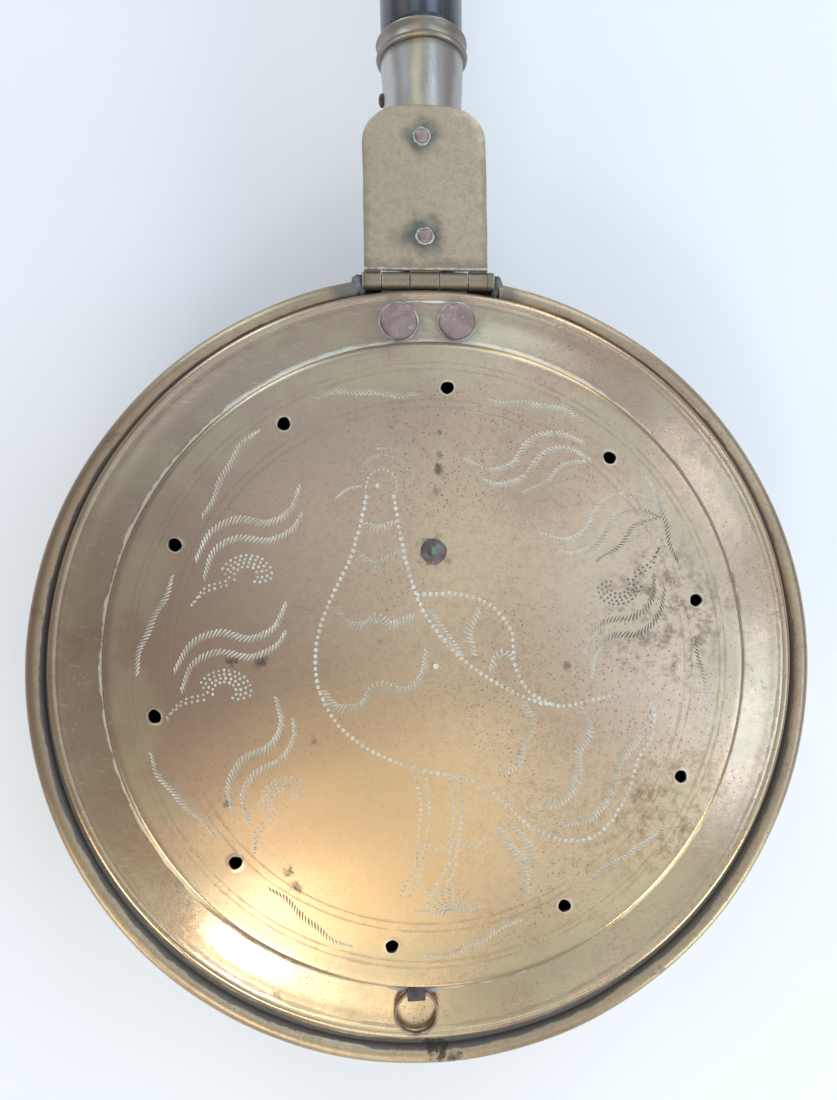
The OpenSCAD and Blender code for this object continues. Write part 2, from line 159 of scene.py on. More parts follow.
def lathe(profile, n, centre=(0, 0), closed=False, wobble=None):
    """Turns a profile of (radius, height) about an upright axis. Points on the axis become one pole."""
    verts, faces, rings = [], [], []
    for r, z in profile:
        if r < 1e-6:
            rings.append([len(verts)])
            verts.append((centre[0], centre[1], z))
            continue
        ring = []
        for k in range(n):
            a = TAU * k / n
            dr, dz = wobble(r, z, a) if wobble else (0, 0)
            ring.append(len(verts))
            verts.append((centre[0] + (r + dr) * math.cos(a), centre[1] + (r + dr) * math.sin(a), z + dz))
        rings.append(ring)
    pairs = list(zip(rings, rings[1:]))
    if closed:
        pairs.append((rings[-1], rings[0]))
    for lower, upper in pairs:
        for k in range(n):
            m = (k + 1) % n
            if len(lower) == 1 and len(upper) == 1:
                continue
            if len(lower) == 1:
                faces.append((lower[0], upper[m], upper[k]))
            elif len(upper) == 1:
                faces.append((lower[k], lower[m], upper[0]))
            else:
                faces.append((lower[k], lower[m], upper[m], upper[k]))
    return verts, faces


def along_y(shape, x, z):
    """Lays an upright turned shape down along +Y, with its axis at x and z."""
    return [(x + px, pz, z - py) for px, py, pz in shape[0]], shape[1]


def along_x(shape, y, z):
    return [(pz, y + px, z + py) for px, py, pz in shape[0]], shape[1]


def sines(seed, count, low, high):
    """A smooth, repeatable wobble: a sum of plane waves between two wavelengths in mm."""
    r = random.Random(seed)
    waves = []
    for _ in range(count):
        a, w = r.uniform(0, TAU), r.uniform(low, high)
        waves.append((math.cos(a) * TAU / w, math.sin(a) * TAU / w, r.uniform(0, TAU)))
    return lambda x, y: sum(math.sin(p * x + q * y + s) for p, q, s in waves) / math.sqrt(count)


def lobes(seed, size, low=2, high=7):
    """A repeatable wavy factor round a circle, for outlines shaped by hand."""
    r = random.Random(seed)
    waves = [(k, r.uniform(0, TAU), r.uniform(0.4, 1.0) / k ** 0.6) for k in range(low, high + 1)]
    return lambda a: size * sum(w * math.sin(k * a + s) for k, s, w in waves)


def extruded(section, x0, x1, bevel=0.15):
    """A closed (y, z) outline carried along X, with a small bevel at both ends."""
    pts = np.array(section, float)
    n = len(pts)
    verts = []
    for x, inset in ((x0, bevel), (x0 + bevel, 0), (x1 - bevel, 0), (x1, bevel)):
        for p, q, o in zip(pts, np.roll(pts, -1, 0), np.roll(pts, 1, 0)):
            t = q - o
            nrm = np.array([t[1], -t[0]]) / (np.linalg.norm(t) + 1e-9)
            p2 = p - nrm * inset
            verts.append((x, p2[0], p2[1]))
    faces = []
    for k in range(3):
        for i in range(n):
            j = (i + 1) % n
            faces.append((k * n + i, k * n + j, (k + 1) * n + j, (k + 1) * n + i))
    faces.append(tuple(range(n))[::-1])
    faces.append(tuple(3 * n + i for i in range(n)))
    return verts, faces


def strip_outline(path, half):
    """Outline, run anticlockwise, of a sheet of even thickness that follows a (y, z) path."""
    pts = np.array(path, float)
    tan = np.gradient(pts, axis=0)
    tan /= np.linalg.norm(tan, axis=1)[:, None]
    nrm = np.stack([tan[:, 1], -tan[:, 0]], 1)
    return [tuple(p) for p in pts + nrm * half] + [tuple(p) for p in (pts - nrm * half)[::-1]]


def loft(rings):
    """Skins a row of equal rings and closes both ends with fans."""
    n = len(rings[0])
    verts = [tuple(p) for ring in rings for p in ring]
    faces = []
    for k in range(len(rings) - 1):
        for i in range(n):
            j = (i + 1) % n
            faces.append((k * n + i, k * n + j, (k + 1) * n + j, (k + 1) * n + i))
    for k in (0, len(rings) - 1):
        verts.append(tuple(np.mean(np.array(rings[k], float), axis=0)))
        for i in range(n):
            faces.append((len(verts) - 1, k * n + i, k * n + (i + 1) % n))
    return verts, faces


def blob(centre, radii, seed, rough=0.12, n=24):
    """A lump: an egg shape with smooth dents."""
    f = lobes(seed, rough)
    g = lobes(seed + 1, rough)
    prof = [(math.sin(math.pi * i / 14), -math.cos(math.pi * i / 14)) for i in range(15)]
    prof[0], prof[-1] = (0, -1), (0, 1)
    verts, faces = lathe(prof, n)
    out = []
    for x, y, z in verts:
        k = 1 + f(math.atan2(y, x)) * math.hypot(x, y) + g(3 * z) * 0.4
        out.append(tuple(c + r * p * k for c, r, p in zip(centre, radii, (x, y, z))))
    return out, faces


def joined(*parts):
    verts, faces = [], []
    for v, f in parts:
        faces += [tuple(i + len(verts) for i in face) for face in f]
        verts += list(v)
    return verts, faces


def boolean(piece, shape, operation, angle=35):
    """Cuts or joins a closed helper shape, with the result written into the mesh."""
    mesh = bpy.data.meshes.new("cutter")
    mesh.from_pydata([tuple(c * MM for c in v) for v in shape[0]], [], shape[1])
    cutter = bpy.data.objects.new("cutter", mesh)
    bpy.context.scene.collection.objects.link(cutter)
    fix_normals(cutter)
    mod = piece.modifiers.new("cut", "BOOLEAN")
    mod.operation = operation
    mod.solver = "MANIFOLD"
    mod.object = cutter
    deps = bpy.context.evaluated_depsgraph_get()
    result = bpy.data.meshes.new_from_object(piece.evaluated_get(deps))
    piece.modifiers.clear()
    old = piece.data
    piece.data = result
    bpy.data.meshes.remove(old)
    bpy.data.objects.remove(cutter)
    soften(piece, angle)


def block(x0, x1, y0, y1, z0, z1):
    verts = [(x, y, z) for x in (x0, x1) for y in (y0, y1) for z in (z0, z1)]
    faces = [(0, 1, 3, 2), (4, 6, 7, 5), (0, 4, 5, 1), (2, 3, 7, 6), (0, 2, 6, 4), (1, 5, 7, 3)]
    return verts, faces


def sheet(outline, height, thick, bevel=0.3, spacing=3.0):
    """A plate with rounded edges: a plan outline, a height for its top and a thickness."""
    pts = np.array(outline, float)
    tan = np.roll(pts, -1, 0) - np.roll(pts, 1, 0)
    tan /= np.linalg.norm(tan, axis=1)[:, None]
    inner = pts + np.stack([-tan[:, 1], tan[:, 0]], 1) * bevel
    n = len(pts)
    grid = []
    lo, hi = inner.min(0), inner.max(0)
    for x in np.arange(lo[0] + spacing / 2, hi[0], spacing):
        for y in np.arange(lo[1] + spacing / 2, hi[1], spacing):
            if np.min(np.linalg.norm(inner - (x, y), axis=1)) > spacing * 0.6:
                grid.append((x, y))
    plan = [Vector(p) for p in inner] + [Vector(p) for p in grid]
    loop = [(i, (i + 1) % n) for i in range(n)]
    co, _, tris, _, _, _ = delaunay_2d_cdt(plan, loop, [list(range(n))], 1, 1e-6)
    m = len(co)
    verts = [(p.x, p.y, height(p.x, p.y)) for p in co] + [(p.x, p.y, height(p.x, p.y) - thick) for p in co]
    faces = [tuple(t) for t in tris] + [tuple(i + m for i in t[::-1]) for t in tris]
    for drop in (bevel * 0.3, bevel, thick - bevel, thick - bevel * 0.3):
        mixk = 0.7 if drop in (bevel * 0.3, thick - bevel * 0.3) else 1.0
        for p, q in zip(inner, pts):
            w = p + (q - p) * mixk
            verts.append((w[0], w[1], height(w[0], w[1]) - drop))
    rows = [0, 2 * m, 2 * m + n, 2 * m + 2 * n, 2 * m + 3 * n, m]
    for a, b in zip(rows, rows[1:]):
        for i in range(n):
            j = (i + 1) % n
            faces.append((a + i, a + j, b + j, b + i))
    return verts, faces


# ---------------------------------------------------------------- material kit
class Mat:
    """A node material, built with short calls. Positions are the row frame's, in metres."""

    def __init__(self, name):
        self.mat = bpy.data.materials.new(name)
        self.mat.use_nodes = True
        self.tree = self.mat.node_tree
        self.bsdf = self.tree.nodes["Principled BSDF"]
        self.pos = self.tree.nodes.new("ShaderNodeTexCoord").outputs["Object"]

    def put(self, socket, value):
        if isinstance(value, bpy.types.NodeSocket):
            self.tree.links.new(value, socket)
        elif isinstance(value, tuple) and len(value) == 3 and socket.type == "RGBA":
            socket.default_value = (*value, 1)
        else:
            socket.default_value = value

    def noise(self, scale, detail=3, rough=0.5, distort=0.0, vector=None):
        n = self.tree.nodes.new("ShaderNodeTexNoise")
        self.put(n.inputs["Vector"], vector or self.pos)
        n.inputs["Scale"].default_value = scale
        n.inputs["Detail"].default_value = detail
        n.inputs["Roughness"].default_value = rough
        n.inputs["Distortion"].default_value = distort
        return n.outputs["Fac"]

    def cells(self, scale, feature="F1", jitter=1.0, vector=None):
        n = self.tree.nodes.new("ShaderNodeTexVoronoi")
        n.feature = feature
        self.put(n.inputs["Vector"], vector or self.pos)
        n.inputs["Scale"].default_value = scale
        n.inputs["Randomness"].default_value = jitter
        return n.outputs["Distance"]

    def span(self, fac, lo, hi, out_lo=0.0, out_hi=1.0):
        n = self.tree.nodes.new("ShaderNodeMapRange")
        n.interpolation_type = "SMOOTHSTEP"
        self.put(n.inputs["Value"], fac)
        for key, v in (("From Min", lo), ("From Max", hi), ("To Min", out_lo), ("To Max", out_hi)):
            n.inputs[key].default_value = v
        return n.outputs["Result"]

    def math(self, op, a, b=0.0):
        n = self.tree.nodes.new("ShaderNodeMath")
        n.operation = op
        self.put(n.inputs[0], a)
        self.put(n.inputs[1], b)
        return n.outputs[0]

    def mix(self, fac, a, b, mode="MIX"):
        n = self.tree.nodes.new("ShaderNodeMix")
        n.data_type = "RGBA"
        n.blend_type = mode
        self.put(n.inputs[0], fac)
        self.put(n.inputs[6], a)
        self.put(n.inputs[7], b)
        return n.outputs[2]

    def stretched(self, scale, turn=(0, 0, 0), vector=None):
        n = self.tree.nodes.new("ShaderNodeMapping")
        self.put(n.inputs["Vector"], vector or self.pos)
        n.inputs["Scale"].default_value = scale
        n.inputs["Rotation"].default_value = tuple(math.radians(t) for t in turn)
        return n.outputs[0]

    def axis(self, key):
        """One coordinate, in mm."""
        n = self.tree.nodes.new("ShaderNodeSeparateXYZ")
        self.put(n.inputs[0], self.pos)
        return self.math("MULTIPLY", n.outputs[key], 1000.0)

    def away(self, x, y):
        """Distance in mm from an upright line."""
        n = self.tree.nodes.new("ShaderNodeVectorMath")
        n.operation = "DISTANCE"
        self.put(n.inputs[0], self.stretched((1, 1, 0)))
        n.inputs[1].default_value = (x * MM, y * MM, 0)
        return self.math("MULTIPLY", n.outputs["Value"], 1000.0)

    def only(self, value):
        """A value used as a position, so that noise on it runs in lines or rings."""
        n = self.tree.nodes.new("ShaderNodeCombineXYZ")
        self.put(n.inputs[0], value)
        return n.outputs[0]

    def ring(self, dist, r, half, edge, edge_noise=None, amount=1.0):
        """A soft band round a distance, with its edge broken up by noise."""
        off = self.math("ABSOLUTE", self.math("SUBTRACT", dist, r))
        if edge_noise is not None:
            off = self.math("ADD", off, self.span(edge_noise, 0.3, 0.7, -edge, edge))
        return self.span(off, half + edge, half, 0, amount)

    def bump(self, height, strength, depth_mm, normal=None):
        n = self.tree.nodes.new("ShaderNodeBump")
        n.inputs["Strength"].default_value = strength
        n.inputs["Distance"].default_value = depth_mm * MM
        self.put(n.inputs["Height"], height)
        if normal is not None:
            self.put(n.inputs["Normal"], normal)
        return n.outputs[0]

    def finish(self, color, rough, normal=None, metallic=None, **fixed):
        self.put(self.bsdf.inputs["Base Color"], color)
        self.put(self.bsdf.inputs["Roughness"], rough)
        if metallic is not None:
            self.put(self.bsdf.inputs["Metallic"], metallic)
        if normal is not None:
            self.put(self.bsdf.inputs["Normal"], normal)
        for key, v in fixed.items():
            self.bsdf.inputs[key.replace("_", " ")].default_value = v
        return self.mat


class Layers:
    """Colour, roughness, metal and bump of one surface, laid on in coats."""

    def __init__(self, name, color, rough, metal):
        self.m = Mat(name)
        self.color, self.rough, self.metal, self.normal = color, rough, metal, None

    def coat(self, mask, color, rough=0.0, metal=0.0):
        m = self.m
        self.color = m.mix(mask, self.color, color)
        if rough:
            self.rough = m.math("ADD", self.rough, m.math("MULTIPLY", mask, rough))
        if metal:
            self.metal = m.math("SUBTRACT", self.metal, m.math("MULTIPLY", mask, metal))

    def relief(self, height, strength, depth_mm):
        self.normal = self.m.bump(height, strength, depth_mm, self.normal)

    def done(self, **fixed):
        return self.m.finish(self.color, self.rough, self.normal, self.metal, **fixed)


DARK = (0.050, 0.038, 0.030)
CHALK = (0.66, 0.66, 0.58)


def old_brass(name, light, brown, rough=0.36, speckle=1.0, scratch=None):
    """Old satin brass: golden and pinkish brown areas, fine orange-peel, pits and rubbed places."""
    s = Layers(name, light, rough, 0.96)
    m = s.m
    cloud = m.noise(13, 4, 0.55, 0.6)
    grain = m.noise(300, 4, 0.62)
    mottle = m.noise(55, 4, 0.6, 0.3)
    s.coat(m.span(m.noise(5.5, 3, 0.5), 0.40, 0.66, 0, 0.75), brown)
    s.coat(m.span(cloud, 0.50, 0.74, 0, 0.45), tuple(0.82 * c for c in brown), 0.04)
    s.coat(m.span(mottle, 0.50, 0.80, 0, 0.24), tuple(0.70 * c for c in light), 0.05)
    s.coat(m.span(grain, 0.40, 0.78, 0, 0.30), tuple(0.55 * c for c in brown), 0.04)
    pit = m.math("MULTIPLY", m.span(m.cells(560), 0.20, 0.10), m.span(m.noise(26, 3, 0.6), 0.36, 0.60, 0, speckle))
    s.coat(pit, DARK, 0.2, 0.5)
    big = m.math("MULTIPLY", m.span(m.cells(170), 0.07, 0.02), m.span(m.noise(17, 3, 0.6), 0.48, 0.62, 0, 0.8 * speckle))
    s.coat(big, DARK, 0.2, 0.5)
    pepper = m.math("MULTIPLY", m.span(m.cells(1150), 0.30, 0.12), m.span(m.noise(21, 3, 0.6), 0.38, 0.60, 0, 0.75 * speckle))
    s.coat(pepper, (0.13, 0.095, 0.065), 0.15, 0.3)
    fine = m.noise(900, 3, 0.7)
    s.coat(m.span(fine, 0.46, 0.70, 0, 0.32), tuple(0.60 * c for c in brown), 0.03)
    s.relief(fine, 0.17, 0.05)
    s.relief(grain, 0.25, 0.08)
    s.relief(m.noise(75, 2, 0.5), 0.35, 0.14)
    if scratch:
        lines = m.noise(1, 5, 0.7, vector=m.stretched(scratch))
        s.relief(lines, 0.18, 0.06)
        s.coat(m.span(lines, 0.62, 0.76, 0, 0.28), tuple(0.6 * c for c in brown))
    return s


def spots(s, places, color=DARK, rough=0.18, metal=0.5):
    """Stains: (x, y, radius, strength), each with a ragged edge."""
    m = s.m
    dirty = m.noise(240, 5, 0.7)
    inside = m.span(m.noise(520, 4, 0.7), 0.32, 0.60, 0.35, 1)
    for x, y, r, strength in places:
        d = m.math("ADD", m.away(x, y), m.span(dirty, 0.25, 0.75, -0.75 * r, 0.75 * r))
        s.coat(m.math("MULTIPLY", inside, m.span(d, r, r * 0.25, 0, strength)), color, rough, metal)


def haze(s, x, y, r, color, amount, rough=0.12, metal=0.35):
    """A soft dark breath round a rivet, fading outwards."""
    m = s.m
    d = m.math("ADD", m.away(x, y), m.span(m.noise(160, 3, 0.6), 0.3, 0.7, -0.16 * r, 0.16 * r))
    s.coat(m.span(d, r, 0.28 * r, 0, amount), color, rough, metal)


def worn_metal(name, low, high, metallic, rough, scale=60, crust=None, crust_at=0.56):
    """A plain worked metal: two tones, scratches, small dents, and a crust where one is given."""
    s = Layers(name, low, rough, metallic)
    m = s.m
    patch = m.noise(scale, 5, 0.6, 0.4)
    s.coat(m.span(patch, 0.35, 0.68), high, 0.08)
    s.coat(m.span(m.noise(scale * 5, 4, 0.65), 0.55, 0.75, 0, 0.6), tuple(0.45 * c for c in low), 0.12)
    lines = m.noise(1, 4, 0.65, vector=m.stretched((260, 2400, 300), (0, 0, 31)))
    s.coat(m.span(lines, 0.60, 0.70, 0, 0.35), tuple(min(1, 1.35 * c) for c in high))
    if crust:
        s.coat(m.span(m.noise(scale * 2.6, 5, 0.7), crust_at, crust_at + 0.08), crust, 0.35, 0.8)
    s.relief(lines, 0.2, 0.05)
    s.relief(m.noise(scale * 8, 3, 0.6), 0.3, 0.08)
    s.relief(patch, 0.4, 0.22)
    return s


def deposit(name, low, high, scale=700):
    """Dry crust or solder: no shine, crumbly."""
    s = Layers(name, low, 0.72, 0.05)
    m = s.m
    s.coat(m.span(m.noise(scale, 5, 0.7), 0.38, 0.66), high)
    s.coat(m.span(m.noise(scale * 0.4, 4, 0.6), 0.52, 0.70, 0, 0.7), tuple(0.5 * c for c in low))
    s.relief(m.noise(scale * 1.6, 4, 0.7), 0.7, 0.16)
    return s


# ---------------------------------------------------------------- lid, cut and punched
LID_LOW, LID_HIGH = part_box("lid")
LID_X = (LID_LOW.x + LID_HIGH.x) / 2 / MM
LID_Y = (LID_LOW.y + LID_HIGH.y) / 2 / MM
LID_R = (LID_HIGH.x - LID_LOW.x) / 2 / MM
LID_T = 1.2
LID_BEAD_R = 2.4
FLANGE_Z = 90.3
RISER_R = 121.5
SHOULDER_R = 3.0
SHOULDER_Z = 95.4
DOME_RISE = 9.2
DOME_EDGE = RISER_R - SHOULDER_R
DOME_R = (DOME_EDGE ** 2 + DOME_RISE ** 2) / (2 * DOME_RISE)
GROOVES = (95.2, 98.2, 110.0, 112.5)
VENT_R = 2.5
VENTS = ((3.7, 103), (41.8, 102.2), (77.9, 103), (115.8, 103.6), (152.6, 103), (189.5, 104.7), (226.4, 101.4),
         (260.9, 102.8), (295.9, 104.2), (328.9, 104.5))
dents = sines(3, 9, 30, 110)


def dome_z(x, y):
    """Height of the dome in the lid's own plane coordinates, with the faint dents of old sheet."""
    r = math.hypot(x, y)
    fade = min(1.0, max(0.0, (DOME_EDGE - r) / 14))
    base = SHOULDER_Z + DOME_RISE - DOME_R + math.sqrt(DOME_R ** 2 - r * r)
    return base + (0.14 * dents(x, y) - 0.05) * fade


def spline(points, step=1.0):
    """Smooth curve through the points, sampled evenly."""
    pts = np.array(points, float)
    full = np.vstack([2 * pts[0] - pts[1], pts, 2 * pts[-1] - pts[-2]])
    out = []
    for i in range(1, len(full) - 2):
        p0, p1, p2, p3 = full[i - 1 : i + 3]
        for t in np.linspace(0, 1, 24, endpoint=False):
            out.append(0.5 * (2 * p1 + (p2 - p0) * t + (2 * p0 - 5 * p1 + 4 * p2 - p3) * t * t
                              + (3 * p1 - p0 - 3 * p2 + p3) * t ** 3))
    out.append(pts[-1])
    out = np.array(out)
    dist = np.r_[0, np.cumsum(np.linalg.norm(np.diff(out, axis=0), axis=1))]
    even = np.linspace(0, dist[-1], max(2, int(dist[-1] / step) + 1))
    return np.stack([np.interp(even, dist, out[:, k]) for k in (0, 1)], 1)


cuts = []  # each is (outline points, inner points, inner edges, depth)


def dot(x, y, r=0.75, depth=0.5):
    n = 8
    a0 = rng.uniform(0, TAU)
    ring = [(x + r * math.cos(a0 + TAU * k / n) * rng.uniform(0.92, 1.06),
             y + r * math.sin(a0 + TAU * k / n) * rng.uniform(0.92, 1.06)) for k in range(n)]
    inner = [(x + 0.5 * r * math.cos(a0 + TAU * k / 4), y + 0.5 * r * math.sin(a0 + TAU * k / 4)) for k in range(4)]
    cuts.append((ring, inner, [(0, 1), (1, 2), (2, 3), (3, 0)], depth))


def stroke(x, y, angle, length, width=0.68, depth=0.5):
    """One short cut of the graver: narrow where it starts, widest two thirds along."""
    c, s = math.cos(angle), math.sin(angle)

    def at(u, v):
        return (x + c * u - s * v, y + s * u + c * v)

    h = length / 2
    w = width / 2
    ring = [at(-h, 0), at(-0.3 * h, -0.7 * w), at(0.45 * h, -w), at(0.9 * h, -0.6 * w),
            at(h, 0), at(0.9 * h, 0.6 * w), at(0.45 * h, w), at(-0.3 * h, 0.7 * w)]
    inner = [at(-0.3 * h, 0), at(0.5 * h, 0)]
    cuts.append((ring, inner, [(0, 1)], depth))


def dotted(points, pitch=2.25, r=0.75):
    for x, y in spline(points, pitch):
        dot(x + rng.uniform(-0.12, 0.12), y + rng.uniform(-0.12, 0.12), r * rng.uniform(0.88, 1.08))


def hatched(points, length=4.3, lean=52, pitch=1.45, taper=True, width=0.68):
    """A band of short strokes that lean across a curve; the band thins out at its ends."""
    line = spline(points, pitch)
    tan = np.gradient(line, axis=0)
    n = len(line)
    for i, ((x, y), (tx, ty)) in enumerate(zip(line, tan)):
        t = i / (n - 1)
        swell = math.sin(math.pi * min(1, max(0, 0.08 + 0.84 * t))) ** 0.6 if taper else 1
        a = math.atan2(ty, tx) + math.radians(lean * (0.45 + 0.55 * swell) + rng.uniform(-3, 3))
        stroke(x, y, a, length * (0.5 + 0.5 * swell) * rng.uniform(0.92, 1.05), width * rng.uniform(0.85, 1.1))


def polar(angle, radius):
    a = math.radians(angle)
    return (radius * math.sin(a), radius * math.cos(a))


def border():
    """One lazy S of leaning strokes between each two vents, in the band between the grooves."""
    for k, (a, _) in enumerate(VENTS):
        b = VENTS[(k + 1) % len(VENTS)][0] + (360 if k == len(VENTS) - 1 else 0)
        m = (a + b) / 2 + rng.uniform(-1.5, 1.5)
        flip = 1 if k % 2 else -1
        pts = [polar(m - 10, 104 + 3.6 * flip), polar(m - 6, 104 + 3.4 * flip), polar(m - 2, 104 + 0.8 * flip),
               polar(m + 2, 104 - 0.8 * flip), polar(m + 6, 104 - 3.4 * flip), polar(m + 10, 104 - 3.2 * flip)]
        hatched(pts, 3.7, -48 * flip, 1.4, True, 0.62)


def leaf_spray(x, y, turn, size=1.0, mirror=1, dots=True):
    """A spray of two hatched stems and a double row of dots that curls at its tip."""
    c, s = math.cos(math.radians(turn)), math.sin(math.radians(turn))

    def at(u, v):
        v *= mirror
        return (x + (c * u - s * v) * size, y + (s * u + c * v) * size)

    hatched([at(0, 0), at(7, 9), at(17, 12), at(27, 9), at(36, 12), at(41, 20)], 4.2, 50 * mirror)
    hatched([at(2, -7), at(7, 2), at(16, 5.2), at(27, 2.6), at(36, 5.5), at(40, 10)], 3.8, 50 * mirror)
    if dots:
        for k in range(4):
            far = 3.4 + 1.35 * k
            turns = np.radians(np.linspace(190 - 14 * k, -48 + 10 * k, 9))
            dotted([at(17 + 1.25 * far * math.cos(a), -8.6 + far * math.sin(a)) for a in turns], 1.75 + 0.05 * k, 0.53)
        for k in range(2):
            dotted([at(-3 - k, -15 - k), at(2, -10.5 - 1.5 * k), at(9.5, -9.2 - 1.6 * k)], 2.0, 0.5)
    else:
        hatched([at(4, -6), at(12, -2.5), at(21, -4), at(30, -2)], 3.2, 50 * mirror, 1.3)


def bird():
    """A plain folk-art bird in profile: dotted outline, hatched feathers, a folded wing and a long tail."""
    dotted([(-24, 62), (-27, 50), (-31, 38), (-38, 24), (-43, 8), (-42, -8), (-34, -22), (-20, -32),
            (-4, -38), (12, -42), (24, -50), (34, -60), (46, -66), (58, -66), (66, -60)])
    dotted([(-14, 62), (-12, 48), (-9, 34), (-4, 20), (6, 6), (18, -4), (32, -12), (46, -16), (60, -14),
            (74, -12), (82, -18), (82, -28), (76, -38), (72, -50), (66, -60)])
    dotted([(-6, 26), (8, 26), (20, 22), (28, 12), (29, 0), (34, -10), (42, -15)])
    # head: crest, eye, bill
    dotted([(-24.5, 64), (-23, 69.5), (-18, 72), (-13.4, 69), (-13, 64)], 1.7, 0.5)
    hatched([(-26, 71), (-22, 76), (-15, 76), (-9, 71), (-6, 65)], 2.4, 62, 0.95, True, 0.42)
    hatched([(-20, 79.5), (-14, 79), (-7, 74)], 2.2, 62, 0.95, True, 0.42)
    dot(-20, 66, 0.8, 0.4)
    hatched([(-26, 66), (-31, 65), (-35, 62)], 1.8, 40, 0.95)
    # feather bands on neck, breast and tail
    hatched([(-25, 52), (-20, 50), (-14, 52)], 3.8, 80, 1.25, True, 0.58)
    hatched([(-28, 42), (-22, 37), (-13, 41)], 3.2, 80, 1.25, True, 0.58)
    hatched([(-36, 22), (-32, 16), (-25, 15), (-21, 18), (-16, 15), (-8, 18)], 4.4, 80, 1.25, True, 0.58)
    hatched([(-41, -8), (-36, -14), (-27, -14), (-21, -7), (-12, -9), (-5, -4), (-3, 5)], 4.8, 76, 1.3, True, 0.6)
    hatched([(32, -14), (35, -22), (31, -29), (30, -36), (24, -40)], 4.2, 76, 1.3, True, 0.6)
    hatched([(54, -17), (57, -26), (52, -34), (52, -44), (45, -52), (36, -52)], 4.4, 76, 1.3, True, 0.6)
    hatched([(80, -22), (74, -32), (68, -38), (66, -48), (58, -58), (48, -60)], 4.2, 76, 1.3, True, 0.6)
    # wing feathers
    hatched([(-2, 20), (3, 12), (9, 4)], 4.2, 60)
    hatched([(16, 20), (12, 12), (14, 4)], 4.0, 65)
    hatched([(20, -2), (24, 4), (28, 2)], 3.6, 75)
    # legs and feet
    for x in (-8, 4):
        dotted([(x, -40), (x + 2, -50), (x + 1, -62), (x, -72)], 2.0, 0.64)
        dotted([(x + 4, -41), (x + 5, -51), (x + 4, -62), (x + 2.6, -70)], 2.0, 0.64)
        dotted([(x, -73), (x - 4, -79), (x - 6, -84)], 2.0, 0.62)
        dotted([(x + 2.6, -73), (x + 0.4, -79), (x - 2.4, -84)], 2.0, 0.6)
        dotted([(x + 5.5, -66), (x + 9.5, -67), (x + 13.5, -64)], 2.0, 0.56)


def grass_tuft(x, y):
    for a in range(10, 180, 20):
        r = math.radians(a)
        long = 13 if a % 40 == 10 else 9
        for k in range(int(long / 1.5)):
            stroke(x + math.cos(r) * (2 + 1.5 * k), y + math.sin(r) * (2 + 1.5 * k), r + 0.9, 2.0, 0.64)


def engrave():
    border()
    bird()
    leaf_spray(-86, 40, 8, 1.0)
    leaf_spray(-94, 0, 4, 1.02)
    leaf_spray(-74, -52, 42, 0.98)
    leaf_spray(58, 82, 215, 1.0, -1, False)
    leaf_spray(84, 60, 222, 1.0, -1, False)
    leaf_spray(88, 26, 200, 0.95, 1, True)
    hatched([(22, -60), (26, -67), (31, -74), (33, -84)], 4.6, 66)
    hatched([(28, -60), (33, -67), (37, -76)], 4.2, 66)
    grass_tuft(4, -92)
    dotted([(-26, -42), (-22, -46), (-20, -50)], 2.3, 0.45)
    dot(0, 0, 1.0, 0.45)


def vent_outline(k, extra):
    """A hand-punched hole: nearly round, with small tears."""
    v = random.Random(k)
    cx, cy = polar(*VENTS[k])
    a2, a3, a5 = v.uniform(0, TAU), v.uniform(0, TAU), v.uniform(0, TAU)
    ring = []
    for i in range(24):
        a = TAU * i / 24
        r = VENT_R + extra + 0.13 * math.cos(2 * a + a2) + 0.09 * math.cos(3 * a + a3) + 0.06 * math.cos(5 * a + a5) - 0.04
        ring.append((cx + r * math.cos(a), cy + r * math.sin(a)))
    return ring


